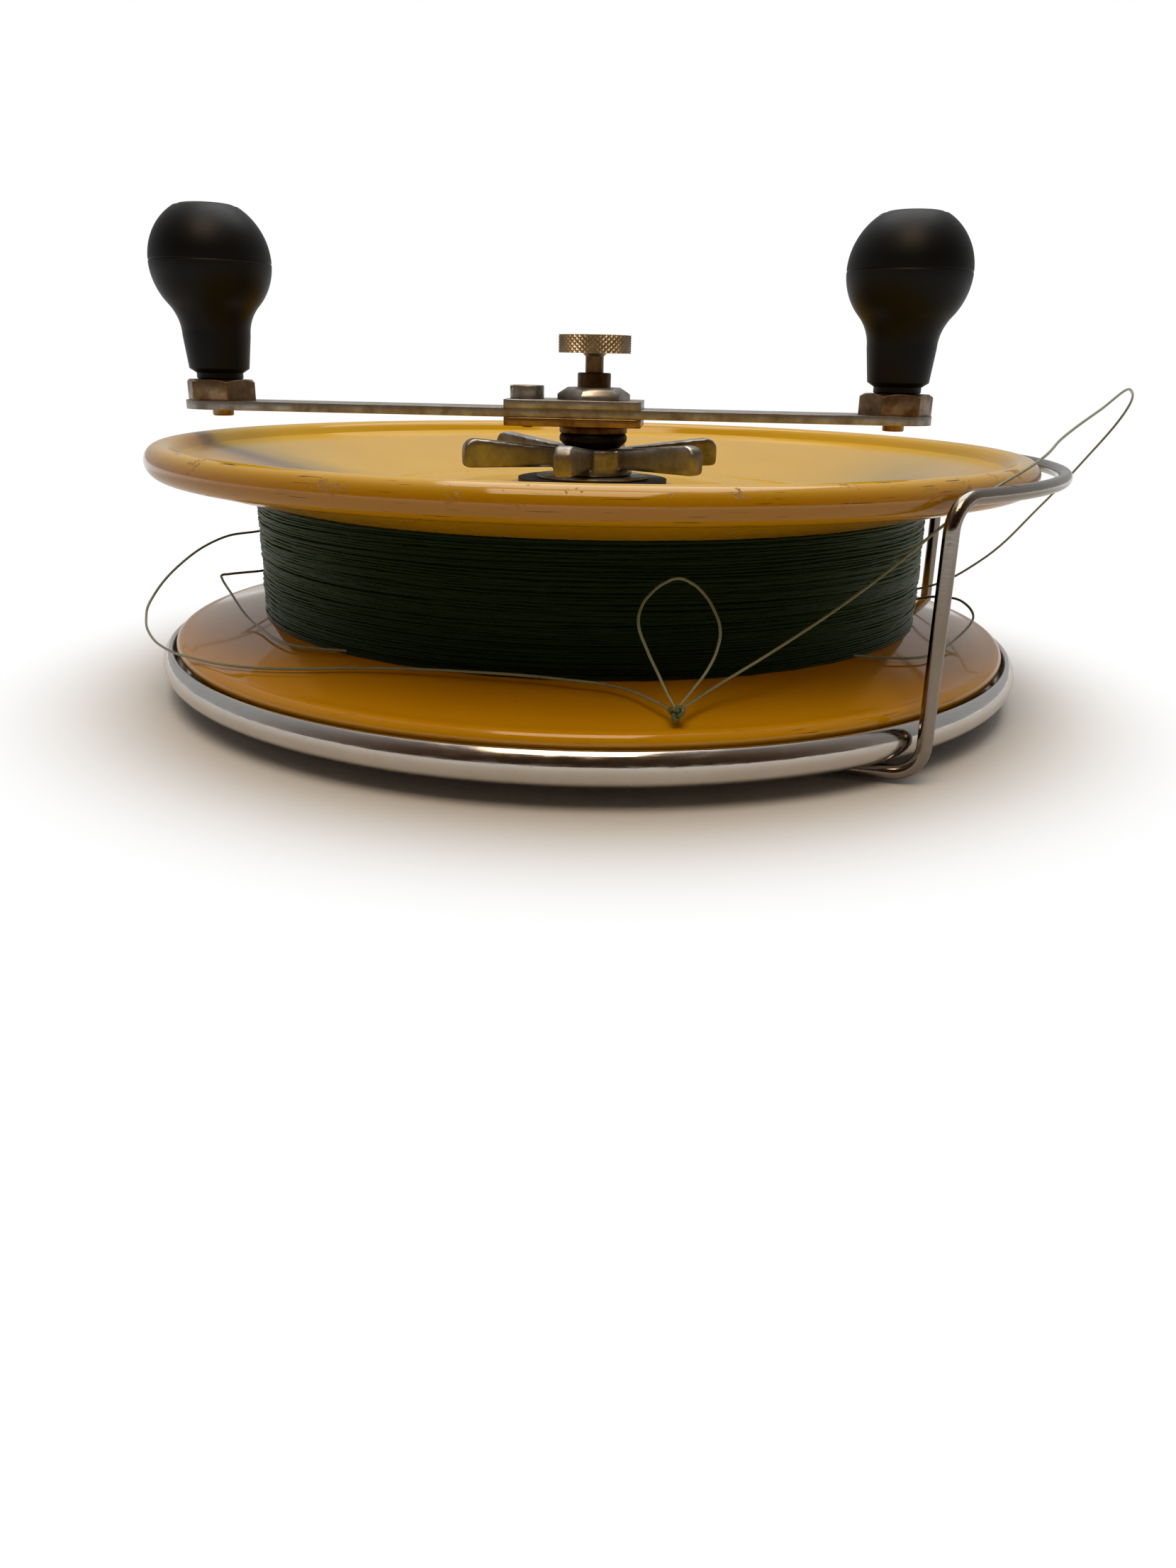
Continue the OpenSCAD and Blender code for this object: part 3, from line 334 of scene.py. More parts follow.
# %% Gloss of the yellow plastic
smear = add(tree, "TexNoise", {"Vector": place, "Scale": per(20), "Detail": 5, "Roughness": 0.65})
dull = add(tree, "MapRange", {0: smear.outputs["Fac"], 1: 0.3, 2: 0.75, 3: 0.05, 4: 0.15}).outputs[0]
rough = add(tree, "Math", {0: chips, 1: dull}, operation="MAXIMUM").outputs[0]
tree.links.new(rough, shader.inputs["Roughness"])
dent = add(tree, "Bump", {"Height": chips, "Distance": 0.12 * MM, "Strength": 0.7}, invert=True).outputs[0]
tree.links.new(dent, shader.inputs["Normal"])
print("yellow plastic:", len(tree.nodes), "nodes")

# %% [markdown]
# ### Polished stainless steel
# The pan and the guard are polished sheet and wire. Polish on steel is never perfect: rubbing leaves fine
# scuffs round the reel, small dark pits and soft dull patches, which blur what the metal mirrors. The wire is
# given a darker copy of the sheet's colours, as painted shade for the dim room that it mirrors, so one
# function makes both from two shades.

# %% Polished stainless steel
def polished(name, dark, light):
    """Make a polished steel whose tone and gloss wander between two shades."""
    finish, tree, shader, place = new_finish(name, light, 0.16, metallic=1)
    cloud = add(tree, "TexNoise", {"Vector": place, "Scale": per(12), "Detail": 6, "Roughness": 0.7})
    haze = cloud.outputs["Fac"]
    rub = add(tree, "Mapping", {"Vector": place, "Scale": (per(4), per(4), per(0.3))}).outputs[0]
    scuff = add(tree, "TexNoise", {"Vector": rub, "Scale": 1, "Detail": 3}).outputs["Fac"]
    marks = add(tree, "Math", {0: haze, 1: scuff}, operation="MULTIPLY").outputs[0]
    rough = add(tree, "MapRange", {0: marks, 1: 0.15, 2: 0.42, 3: 0.08, 4: 0.28}).outputs[0]
    tree.links.new(rough, shader.inputs["Roughness"])
    tone = add(tree, "MixRGB", {0: haze, 1: linear(dark), 2: linear(light)}).outputs[0]
    grit = add(tree, "TexNoise", {"Vector": rub, "Scale": 3, "Detail": 5, "Roughness": 0.7}).outputs["Fac"]
    pits = add(tree, "MapRange", {0: grit, 1: 0.64, 2: 0.72}).outputs[0]
    pitted = add(tree, "MixRGB", {0: pits, 1: tone, 2: linear("#4C453E")}).outputs[0]
    tree.links.new(pitted, shader.inputs["Base Color"])
    wave = add(tree, "Bump", {"Height": scuff, "Distance": 0.02 * MM, "Strength": 0.5}).outputs[0]
    tree.links.new(wave, shader.inputs["Normal"])
    print(name, "made")
    return finish


stainless = polished("polished_stainless_steel", "#BEBAB5", "#DCDAD7")
# Painted shade: the wire gets a darker copy of the steel's colours, for the dim room in front that it
# mirrors.
shaded_wire_steel = polished("stainless_wire_painted_shade", "#766D63", "#9A9288")

# %% [markdown]
# ### Tarnished nickel plate and brass
# The star wheel, the handle and its nuts are nickel plated and have gone grey-brown: brown where the
# plating is stained, paler where it is rubbed. Brass shows on the pins and the lower lock plate, and has
# gone nearly brown on the collar, the sleeve and the stem of the thumb screw. All are metals with a stain
# noise between two colours and a matching change of gloss.

# %% Tarnished metals
def tarnished(name, unmarked, stained, gloss, dulled, stain_size=5):
    """Make a metal finish that a stain pattern takes from clean and glossy to stained and dull."""
    finish, tree, shader, place = new_finish(name, unmarked, gloss, metallic=1)
    stain = add(tree, "TexNoise", {"Vector": place, "Scale": per(stain_size), "Detail": 6, "Roughness": 0.65})
    amount = add(tree, "MapRange", {0: stain.outputs["Fac"], 1: 0.36, 2: 0.64}).outputs[0]
    tone = add(tree, "MixRGB", {0: amount, 1: linear(unmarked), 2: linear(stained)}).outputs[0]
    tree.links.new(tone, shader.inputs["Base Color"])
    rough = add(tree, "MapRange", {0: amount, 3: gloss, 4: dulled}).outputs[0]
    tree.links.new(rough, shader.inputs["Roughness"])
    pits = add(tree, "TexNoise", {"Vector": place, "Scale": per(0.6), "Detail": 3}).outputs["Fac"]
    skin = add(tree, "Bump", {"Height": pits, "Distance": 0.02 * MM, "Strength": 0.5}).outputs[0]
    tree.links.new(skin, shader.inputs["Normal"])
    print(name, "made")
    return finish


nickel = tarnished("tarnished_nickel_plate", "#ABA8A2", "#7E766B", 0.3, 0.48)
brass = tarnished("tarnished_brass", "#A1824F", "#6E5230", 0.28, 0.45)
browned = tarnished("browned_brass", "#6A5238", "#3E2C1A", 0.3, 0.48)
screw_metal = tarnished("worn_plate_over_brass", "#B0AAA2", "#867C70", 0.34, 0.48, stain_size=3)
nut_metal = tarnished("browned_nickel_plate", "#8E765A", "#5A432C", 0.3, 0.44)

# %% [markdown]
# ### Black plastic, leather and line
# The knobs are matt black moulded plastic. Its grain is too fine to show, so it is drawn coarser, at half a
# millimetre. The drag washers are oiled leather, nearly black. The line is green nylon: smooth and faded in
# lengths. On the pack its colour is painted far darker, as painted shade where strand shades strand, and in
# the knot it is painted darker, as painted shade inside the pulled knot.

# %% Black plastic and leather
black, tree, shader, place = new_finish("matt_black_plastic", "#080707", 0.44)
shader.inputs["Specular IOR Level"].default_value = 0.16
grain = add(tree, "TexNoise", {"Vector": place, "Scale": per(0.5), "Detail": 2}).outputs["Fac"]
skin = add(tree, "Bump", {"Height": grain, "Distance": 0.02 * MM, "Strength": 0.4}).outputs[0]
tree.links.new(skin, shader.inputs["Normal"])

leather, tree, shader, place = new_finish("oiled_leather", "#1A120C", 0.6)
fibre = add(tree, "TexNoise", {"Vector": place, "Scale": per(0.8), "Detail": 4}).outputs["Fac"]
skin = add(tree, "Bump", {"Height": fibre, "Distance": 0.05 * MM, "Strength": 0.5}).outputs[0]
tree.links.new(skin, shader.inputs["Normal"])
print("black plastic and leather made")


# %% Nylon line
def faded_nylon(name, dark, light, fade_size):
    """Make a smooth nylon that has faded in patches of a size between two shades."""
    finish, tree, shader, place = new_finish(name, light, 0.3)
    shader.inputs["IOR"].default_value = 1.53
    fade = add(tree, "TexNoise", {"Vector": place, "Scale": per(fade_size), "Detail": 3}).outputs["Fac"]
    tone = add(tree, "MixRGB", {0: fade, 1: linear(dark), 2: linear(light)}).outputs[0]
    tree.links.new(tone, shader.inputs["Base Color"])
    gloss = add(tree, "MapRange", {0: fade, 1: 0.3, 2: 0.7, 3: 0.22, 4: 0.38}).outputs[0]
    tree.links.new(gloss, shader.inputs["Roughness"])
    print(name, "made")
    return finish


nylon = faded_nylon("green_nylon_line", "#6A7450", "#90947A", 7)
# Painted shade: the knot gets a darker copy of the line's colour, for the shade inside the pulled knot.
shaded_knot_nylon = faded_nylon("knot_nylon_painted_shade", "#3C4822", "#666E3E", 1)

# Painted shade: the pack gets a far darker copy of the green line's colour, for the shade where strand shades
# strand.
shaded_wound_nylon, tree, shader, place = new_finish("wound_nylon_painted_shade", "#10160B", 0.38)
shader.inputs["Specular IOR Level"].default_value = 0.14
shader.inputs["Specular Tint"].default_value = linear("#C4DC9C")
shader.inputs["Sheen Weight"].default_value = 1.0
shader.inputs["Sheen Roughness"].default_value = 0.4
shader.inputs["Sheen Tint"].default_value = linear("#5E8038")
drawn = add(tree, "Mapping", {"Vector": place, "Scale": (per(30), per(30), per(0.7))}).outputs[0]
lay = add(tree, "TexNoise", {"Vector": drawn, "Scale": 1, "Detail": 4, "Roughness": 0.6}).outputs["Fac"]
tone = add(tree, "MixRGB", {0: lay, 1: linear("#010200"), 2: linear("#1B2D15")}).outputs[0]
tree.links.new(tone, shader.inputs["Base Color"])
print(shaded_wound_nylon.name, "made")

# %% [markdown]
# ## Helpers for modelling
# Most pieces are turned, so most start as an outline that is spun about an axis. The outline is drawn the
# way one does by hand: a single vertex is placed and then extruded from point to point.

# %% Helpers for modelling
def box_of(node):
    """Lowest and highest corner of a CAD piece, in millimetres."""
    low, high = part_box(node)
    return low / MM, high / MM


def draw_outline(name, points):
    """Draw a chain of edges through points in millimetres, and stay in edit mode with all of it selected."""
    bpy.ops.object.select_all(action="DESELECT")
    bpy.ops.mesh.primitive_plane_add(size=MM)
    piece = bpy.context.object
    piece.name = piece.data.name = name
    points = [Vector(p) * MM for p in points]
    bpy.ops.object.mode_set(mode="EDIT")
    bpy.ops.mesh.merge(type="CENTER")
    bpy.ops.transform.translate(value=points[0])
    for here, there in zip(points, points[1:]):
        bpy.ops.mesh.extrude_region_move(TRANSFORM_OT_translate={"value": there - here})
    bpy.ops.mesh.select_all(action="SELECT")
    return piece


def close_mesh():
    """Merge doubles, turn all faces outwards and leave edit mode."""
    bpy.ops.mesh.select_all(action="SELECT")
    bpy.ops.mesh.remove_doubles(threshold=0.004 * MM)
    bpy.ops.mesh.normals_make_consistent(inside=False)
    bpy.ops.object.mode_set(mode="OBJECT")


def smooth(piece, angle=32):
    """Shade a piece smoothly, with edges sharper than an angle kept crisp."""
    select_only(piece)
    bpy.ops.object.shade_smooth_by_angle(angle=radians(angle))


def turned(name, outline, at=(0, 0), steps=128):
    """Spin an outline of radius and height pairs about an upright axis, as on a lathe."""
    piece = draw_outline(name, [(r, 0, z) for r, z in outline])
    bpy.ops.mesh.spin(steps=steps, angle=tau, center=(0, 0, 0), axis=(0, 0, 1))
    close_mesh()
    piece.location = Vector((*at, 0)) * MM
    bpy.ops.object.transform_apply(location=True, rotation=False, scale=False)
    smooth(piece)
    return piece


def bow(x, z, r, start, end, steps=10):
    """Points of a circular arc in an outline, from one angle in degrees to another."""
    turns = [radians(start + (end - start) * i / steps) for i in range(steps + 1)]
    return [(x + r * cos(a), z + r * sin(a)) for a in turns]


def modify(piece, kind, **settings):
    """Add a modifier, set it up and apply it."""
    select_only(piece)
    modifier = piece.modifiers.new(kind.lower(), kind)
    for key, value in settings.items():
        setattr(modifier, key, value)
    bpy.ops.object.modifier_apply(modifier=modifier.name)


def round_edges(piece, width, segments=3):
    """Round every edge sharper than 35 degrees."""
    modify(piece, "BEVEL", width=width * MM, segments=segments, limit_method="ANGLE", angle_limit=radians(35))
    smooth(piece)


def softened(node, name, width):
    """Copy a CAD piece, join its loose triangles into flat faces, and round its edges."""
    select_only(frame["nodes"][node])
    bpy.ops.object.duplicate()
    piece = bpy.context.object
    bpy.ops.object.parent_clear(type="CLEAR_KEEP_TRANSFORM")
    piece.name = piece.data.name = name
    bpy.ops.object.mode_set(mode="EDIT")
    bpy.ops.mesh.select_all(action="SELECT")
    bpy.ops.mesh.remove_doubles(threshold=0.004 * MM)
    bpy.ops.mesh.dissolve_limited(angle_limit=radians(1))
    close_mesh()
    round_edges(piece, width)
    return piece


def settle(piece, finish, body, slot, *nodes):
    """Give a finished piece its finish and its body, and hide the CAD pieces that it stands for."""
    piece.data.materials.clear()
    piece.data.materials.append(finish)
    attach(piece, body)
    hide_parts(*nodes)
    size = [f"{d / MM:.1f}" for d in piece.dimensions]
    print(f"{piece.name}: {len(piece.data.polygons)} faces, {' x '.join(size)} mm")


# %% Finish of the loose line
for piece in (left_tail, right_tail, end_loop, slack_left, slack_right):
    piece.data.materials.append(nylon)
knot.data.materials.append(shaded_knot_nylon)
print("loose line:", nylon.name, "and", shaded_knot_nylon.name)

# %% [markdown]
# ## Back plate
# The back plate is a pan pressed from sheet steel, with its edge rolled up and inwards round the spool. As
# a solid of revolution it is one spun outline: out along the underside, round the roll, over the cut edge
# of the sheet and back along the inside.

# %% Back plate
low, high = box_of("back_plate")
PLATE_R, PLATE_Z = high.x, low.z
SHEET, ROLL_R, ROLL_END, FLAT_MID = 1.2, 3.8, 47, 40
roll_x, roll_z = PLATE_R - ROLL_R, PLATE_Z + ROLL_R
edge_mid = ROLL_R - SHEET / 2
edge_x = roll_x + edge_mid * cos(radians(ROLL_END))
edge_z = roll_z + edge_mid * sin(radians(ROLL_END))
pan = turned("pan", [
    (0, PLATE_Z), (FLAT_MID, PLATE_Z),
    *bow(roll_x, roll_z, ROLL_R, -90, ROLL_END, 22),
    *bow(edge_x, edge_z, SHEET / 2, ROLL_END + 20, ROLL_END + 160, 6),
    *bow(roll_x, roll_z, ROLL_R - SHEET, ROLL_END, -90, 14),
    (FLAT_MID, PLATE_Z + SHEET), (0, PLATE_Z + SHEET)], steps=192)
settle(pan, stainless, "root", "stainless_steel", "back_plate")

# %% [markdown]
# ## Line guard
# The guard is one length of wire: a foot under the pan, a leg, a curved rail beside the lip, a second leg
# and a second foot. A wire can be a curve, but a circle that is extruded along the straights and spun round
# the bends is how a bending jig makes it, and gives true bends.

# %% Jig for the line guard
low, high = box_of("line_guard")
WIRE_R, BEND, FOOT_LENGTH, RIM_GAP = 1.3, 5, 13, 0.8
GUARD_TURN, GUARD_HALF = radians(-16), radians(38)
guard_r = PLATE_R + RIM_GAP + WIRE_R
foot_z = low.z + WIRE_R
rail_z = high.z - WIRE_R
leg_x, leg_y = guard_r * cos(GUARD_HALF), guard_r * sin(GUARD_HALF)
print(f"legs of the guard: {2 * leg_y:.1f} mm apart")


def jig(angle, centre, axis, steps=10):
    """Bend the open end of the wire round a centre in millimetres. Spin turns clockwise, hence the minus."""
    bpy.ops.mesh.spin(steps=steps, angle=-angle, center=Vector(centre) * MM, axis=axis)


def feed(x, y, z):
    """Push the open end of the wire on by a step in millimetres."""
    bpy.ops.mesh.extrude_region_move(TRANSFORM_OT_translate={"value": Vector((x, y, z)) * MM})


# %% Line guard
bpy.ops.object.select_all(action="DESELECT")
start = Vector((leg_x - BEND - FOOT_LENGTH, -leg_y, foot_z))
bpy.ops.mesh.primitive_circle_add(vertices=24, radius=WIRE_R * MM, location=start * MM,
                                  rotation=(0, pi / 2, 0))
guard = bpy.context.object
guard.name = guard.data.name = "guard_wire"
bpy.ops.object.transform_apply(location=True, rotation=True, scale=True)
tangent = Vector((sin(GUARD_HALF), cos(GUARD_HALF), 0))
corner = Vector((leg_x, -leg_y, rail_z - BEND)) + BEND * tangent
rail_r = abs(corner.y) / sin(GUARD_HALF)
rail_x = corner.x - rail_r * cos(GUARD_HALF)
leg_length = rail_z - foot_z - 2 * BEND
bpy.ops.object.mode_set(mode="EDIT")
bpy.ops.mesh.select_all(action="SELECT")
feed(FOOT_LENGTH, 0, 0)
jig(pi / 2, (leg_x - BEND, -leg_y, foot_z + BEND), (0, -1, 0))
feed(0, 0, leg_length)
jig(pi / 2, corner, (-tangent.y, tangent.x, 0))
jig(2 * GUARD_HALF, (rail_x, 0, rail_z), (0, 0, 1), 48)
jig(pi / 2, (corner.x, -corner.y, rail_z - BEND), (-tangent.y, -tangent.x, 0))
feed(0, 0, -leg_length)
jig(pi / 2, (leg_x - BEND, leg_y, foot_z + BEND), (0, 1, 0))
feed(-FOOT_LENGTH, 0, 0)
bpy.ops.mesh.select_all(action="SELECT")
bpy.ops.mesh.fill_holes(sides=0)
close_mesh()
guard.rotation_euler.z = GUARD_TURN
bpy.ops.object.transform_apply(location=False, rotation=True, scale=False)
round_edges(guard, 0.3)
settle(guard, shaded_wire_steel, "root", "stainless_steel", "line_guard")

# %% [markdown]
# ## Leg, foot and rivets
# A flat strip crosses the back of the pan and turns up to carry the foot that sits on a rod. They have
# plain shapes that the CAD model already holds, so a copy of each is merged and its edges are rounded, as a
# press and a tumbling drum leave them.

# %% Leg, foot and rivets
for node, name, width in (
        ("reel_leg", "leg_strip", 0.4),
        ("reel_foot", "rod_foot", 0.3),
        ("leg_rivets", "rivets_of_the_leg", 0.3),
        ("foot_rivets", "rivets_of_the_foot", 0.3)):
    settle(softened(node, name, width), stainless, "root", "stainless_steel", node)

# %% [markdown]
# ## Spool
# The spool is a single moulding: a hub, a dished upper flange with a thick rolled lip, a hollow drum and a
# lower flange with a rounded edge. One closed outline, spun round, gives all of it, with small radii where
# a mould has them.

# %% Measures of the spool
low, high = box_of("spool")
LIP_R, LIP_BEAD, LIP_OVERHANG, LOW_BEAD, FLANGE = high.x, 3, 2.4, 1.9, 4.4
DRUM_R, DRUM_IN, HUB_R, BORE_R, FLOOR_R, PACK_R = 48, 44.5, 17, 7.05, 54, 70.15
LOW_RISE, HUB_RISE = 0.21, 2.2
lip_x, lip_z = LIP_R - LIP_BEAD, high.z - LIP_BEAD
low_x, low_z = LIP_R - LIP_OVERHANG - LOW_BEAD, low.z + LOW_BEAD


def under_lip(r):
    """Height of the underside of the upper flange at a radius."""
    return lip_z - LIP_BEAD + FLANGE_RISE * (r - lip_x)


def over_low(r):
    """Height of the top of the lower flange at a radius."""
    return low_z + LOW_BEAD + LOW_RISE * (low_x - r)


floor_z = under_lip(FLOOR_R) + FLANGE
hub_top = floor_z + HUB_RISE
hub_low = box_of("spool_bush")[0].z
print(f"floor of the dish: {lip_z + LIP_BEAD - floor_z:.1f} mm under the lip")

# %% Spool
spool = turned("yellow_spool", [
    (BORE_R, hub_low), (HUB_R, hub_low), (HUB_R, floor_z - FLANGE), (DRUM_IN, floor_z - FLANGE),
    (DRUM_IN, over_low(DRUM_IN) - FLANGE),
    *bow(low_x, low_z, LOW_BEAD, -90, 84, 14),
    (low_x - 0.6, over_low(low_x - 0.6) - 0.12), (low_x - 1.6, over_low(low_x - 1.6)),
    (DRUM_R + 1, over_low(DRUM_R + 1)), (DRUM_R, over_low(DRUM_R) + 1),
    (DRUM_R, under_lip(DRUM_R) - 1), (DRUM_R + 1, under_lip(DRUM_R + 1)),
    (lip_x - 2.2, under_lip(lip_x - 2.2)), (lip_x - 0.9, under_lip(lip_x) - 0.1),
    *bow(lip_x, lip_z, LIP_BEAD, -84, 128, 24),
    (lip_x - 2.35, lip_z + 1.5), (lip_x - 2.9, lip_z + 0.6),
    (lip_x - 4.2, under_lip(lip_x - 4.2) + FLANGE + 0.1),
    (FLOOR_R + 3, under_lip(FLOOR_R + 3) + FLANGE), (FLOOR_R + 1, floor_z + 0.34),
    (FLOOR_R - 1, floor_z + 0.06), (FLOOR_R - 3, floor_z),
    (HUB_R + 2.6, floor_z), (HUB_R + 2.0, floor_z + 0.2), (HUB_R + 0.4, hub_top - 0.3),
    (HUB_R - 0.4, hub_top), (BORE_R, hub_top), (BORE_R, hub_low)], steps=192)
settle(spool, yellow, "spool", "yellow_plastic", "spool")

# %% [markdown]
# ## Wound line
# The pack of line is hundreds of turns. Only the outer ones are seen, so a plain core carries one close
# layer of turns, and further strands cross that layer at a slant, as they do when line is wound on by hand.
# A smooth noise lifts and shifts each turn a little, so that light catches single strands.

# %% Core of the wound line
LAYER = 0.75
CORE_R = PACK_R - LAYER
IN_R = DRUM_R + 0.1
core = turned("wound_core", [
    (IN_R, over_low(IN_R) + 0.1), (CORE_R - 0.6, over_low(CORE_R) + 0.15),
    (CORE_R, over_low(CORE_R) + 0.8), (CORE_R, under_lip(CORE_R) - 0.8),
    (CORE_R - 0.6, under_lip(CORE_R) - 0.15), (IN_R, under_lip(IN_R) - 0.1),
    (IN_R, over_low(IN_R) + 0.1)])
settle(core, shaded_wound_nylon, "spool", "fishing_line", "line_core")

# %% Paths of the strands
EDGE_GAP = 0.35
PACK_LOW, PACK_TOP = over_low(PACK_R) + EDGE_GAP, under_lip(PACK_R) - EDGE_GAP
STEPS = 48


def drift(angle, turn, seed):
    """Smooth noise between about -1 and 1 that follows a strand round the pack."""
    return noise.noise(Vector((2.2 * cos(angle), 2.2 * sin(angle), 0.7 * turn + seed)))


def on_pack(angle, radius, height):
    """Point of a strand at an angle round the pack, which swells and sinks a little over its height."""
    height = min(max(height, PACK_LOW), PACK_TOP)
    radius += 0.16 * noise.noise(Vector((1.5 * cos(angle), 1.5 * sin(angle), 0.35 * height)))
    return (radius * cos(angle), radius * sin(angle), height)


def close_layer(turns, radius):
    """Strand of the outer layer, wound turn beside turn from flange to flange."""
    run = []
    for i in range(turns * STEPS + 1):
        angle, turn = tau * i / STEPS, i / STEPS
        height = PACK_LOW + (PACK_TOP - PACK_LOW) * turn / turns + 0.24 * drift(angle, turn, 0)
        run.append(on_pack(angle, radius + 0.09 * drift(angle, turn, 40), height))
    return run


def slanted(start, length, low, high, seed):
    """Strand that crosses the layer at a slant and sinks into it at both ends."""
    run = []
    count = int(length * STEPS)
    for i in range(count + 1):
        t = i / count
        angle = start + tau * length * t
        sunk = 0.8 * max(0, 1 - 9 * t, 1 - 9 * (1 - t))
        radius = PACK_R - 0.12 + 0.06 * drift(angle, seed, seed) - sunk
        run.append(on_pack(angle, radius, low + (high - low) * t + 0.5 * drift(angle, seed, 7 + seed)))
    return run


print(f"pack of line: {PACK_TOP - PACK_LOW:.1f} mm high")

# %% Strands of the wound line
TURNS, CROSSINGS, STRAND_D, LAYER_DEPTH = 46, 64, 0.46, 0.36
GOLDEN, CLIMB = 0.618034, 13
runs = [close_layer(TURNS, PACK_R - LAYER_DEPTH)]
for i in range(CROSSINGS):
    lean = noise.noise(Vector((5.3 * i, 1.7, 0.4)))
    length = 0.8 + 0.7 * abs(noise.noise(Vector((0.9, 3.1 * i, 2.2))))
    start_z = PACK_LOW + (PACK_TOP - PACK_LOW) * (GOLDEN * i % 1)
    runs.append(slanted(tau * (1 - GOLDEN) * i, length, start_z, start_z + CLIMB * lean * length, 3.1 * i))
strands = to_mesh(tangle("wound_strands", runs, STRAND_D))
settle(strands, shaded_wound_nylon, "spool", "fishing_line", "line_winding")

# %% [markdown]
# ## Handle
# The arm is a flat strip held between two lock plates, with a hexagon nut on the axis, a screw beside it
# and a nut and a pin at each end. Most are sheet or bar with a plated skin, and only their edges differ
# from the CAD pieces: they have gone soft and round with use.

# %% Handle
for node, name, width, finish, slot in (
        ("handle_arm", "arm_strip", 0.3, nickel, "nickel_plate"),
        ("upper_lock_plate", "lock_plate_over_arm", 0.3, nickel, "nickel_plate"),
        ("lower_lock_plate", "lock_plate_under_arm", 0.3, brass, "nickel_plate"),
        ("lock_screw", "lock_screw_head", 0.25, nickel, "nickel_plate"),
        ("knob_nuts", "hexagon_nuts_of_the_knobs", 0.3, nut_metal, "nickel_plate"),
        ("knob_pin_long", "pin_of_the_long_end", 0.3, brass, "brass"),
        ("knob_pin_short", "pin_of_the_short_end", 0.3, brass, "brass"),
        ("handle_collar", "brass_collar", 0.3, browned, "brass"),
        ("drive_sleeve", "sleeve_end", 0.3, browned, "brass"),
        ("spacer_bush", "black_bush", 0.3, black, "black_plastic"),
        ("pressure_plate", "thin_plate", 0.1, nickel, "nickel_plate")):
    settle(softened(node, name, width), finish, "handle", slot, node)

# %% [markdown]
# A turned nut has a cone on its top, which leaves an arc on each of its six faces. The hexagon of the CAD
# piece is kept where it lies inside a spun cone.

# %% Centre nut
CONE_SLOPE, FLAT_SHARE = 0.62, 0.68
nut = softened("centre_nut", "hexagon_nut", 0.05)
low, high = box_of("centre_nut")
corner_r = max(high.x, high.y) + 0.5
flat_r = FLAT_SHARE * corner_r
cone = turned("nut_cone", [
    (0, low.z - 1), (corner_r, low.z - 1), (corner_r, high.z - CONE_SLOPE * (corner_r - flat_r)),
    (flat_r, high.z), (0, high.z)], steps=96)
modify(nut, "BOOLEAN", operation="INTERSECT", object=cone)
bpy.data.objects.remove(cone)
smooth(nut)
settle(nut, nickel, "handle", "nickel_plate", "centre_nut")

# %% [markdown]
# ## Star wheel
# The drag is set with a cast star of six arms that rise towards their tips. The CAD piece has the arms and
# the hub; a casting has no sharp edge, so its copy is remeshed into even small faces and smoothed, which
# rounds every edge and tip alike.

# %% Star wheel
star = softened("star_wheel", "star_casting", 0.5)
modify(star, "REMESH", mode="VOXEL", voxel_size=0.35 * MM)
modify(star, "SMOOTH", factor=0.5, iterations=16)
modify(star, "DECIMATE", ratio=0.4)
smooth(star, 60)
settle(star, nickel, "star", "nickel_plate", "star_wheel")

# %% [markdown]
# ## Knobs
# Each knob is a ball with a flat top on a stem that tapers to a narrow foot, and a hollow curve joins the
# two. The halves of its mould meet at the widest place and leave a fine groove. The outline is made of arcs
# and spun, and a disc closes the hole in the top.

# %% Knobs
KNOB_R, TOP_R, WAIST_R, WAIST_BEND, FOOT_R = 12.35, 5.8, 6.95, 9, 6.2
NECK_R, NECK, SLANT, SEAM, PIN_HOLE_R = 4.8, 2.1, 0.9, 0.14, 3.06


def knob_outline(z0, z1):
    """Outline of a knob, from its foot to its flat top."""
    ball_z = z1 - sqrt(KNOB_R ** 2 - TOP_R ** 2)
    reach = KNOB_R + WAIST_BEND
    hollow_x = WAIST_R + WAIST_BEND
    hollow_z = ball_z - sqrt(reach ** 2 - hollow_x ** 2)
    lean = degrees(acos(hollow_x / reach))
    shoulder = degrees(acos(TOP_R / KNOB_R))
    return [
        (FOOT_R, z0), *bow(hollow_x, hollow_z, WAIST_BEND, 180, 180 - lean, 14),
        *bow(0, ball_z, KNOB_R, -lean, -1, 16)[1:], (KNOB_R - SEAM, ball_z),
        *bow(0, ball_z, KNOB_R, 1, shoulder - 4, 20),
        (TOP_R + 0.1, z1 - 0.3), (TOP_R - 0.35, z1 - 0.07), (TOP_R - 0.7, z1)]


for end in ("long", "short"):
    low, high = box_of("knob_" + end)
    centre = ((low.x + high.x) / 2, (low.y + high.y) / 2)
    cap_low, cap_high = box_of("knob_cap_" + end)
    cap_r = (cap_high.x - cap_low.x) / 2
    z0 = low.z + NECK
    knob = turned("knob_of_the_" + end + "_end", [
        (PIN_HOLE_R, low.z), (NECK_R - 0.2, low.z), (NECK_R, low.z + 0.2), (NECK_R, z0 - SLANT),
        *knob_outline(z0, high.z), (cap_r + 0.05, high.z - 0.2), (cap_r + 0.05, cap_low.z - 0.2),
        (PIN_HOLE_R, cap_low.z - 0.2), (PIN_HOLE_R, low.z)], at=centre, steps=96)
    settle(knob, black, "knob_" + end, "black_plastic", "knob_" + end)
    cap = turned("disc_of_the_" + end + "_knob", [
        (0, cap_low.z), (cap_r, cap_low.z), (cap_r, cap_high.z - 0.25), (cap_r - 0.25, cap_high.z - 0.05),
        (0, cap_high.z)], at=centre, steps=64)
    settle(cap, black, "knob_" + end, "black_plastic", "knob_cap_" + end)

# %% [markdown]
# ## Thumb screw
# The screw on the axis is set by hand, so its head is knurled with crossing grooves that leave small
# pyramids. A cylinder is cut into rows, every other vertex is pushed out, and each four-sided face is split
# along its low diagonal.

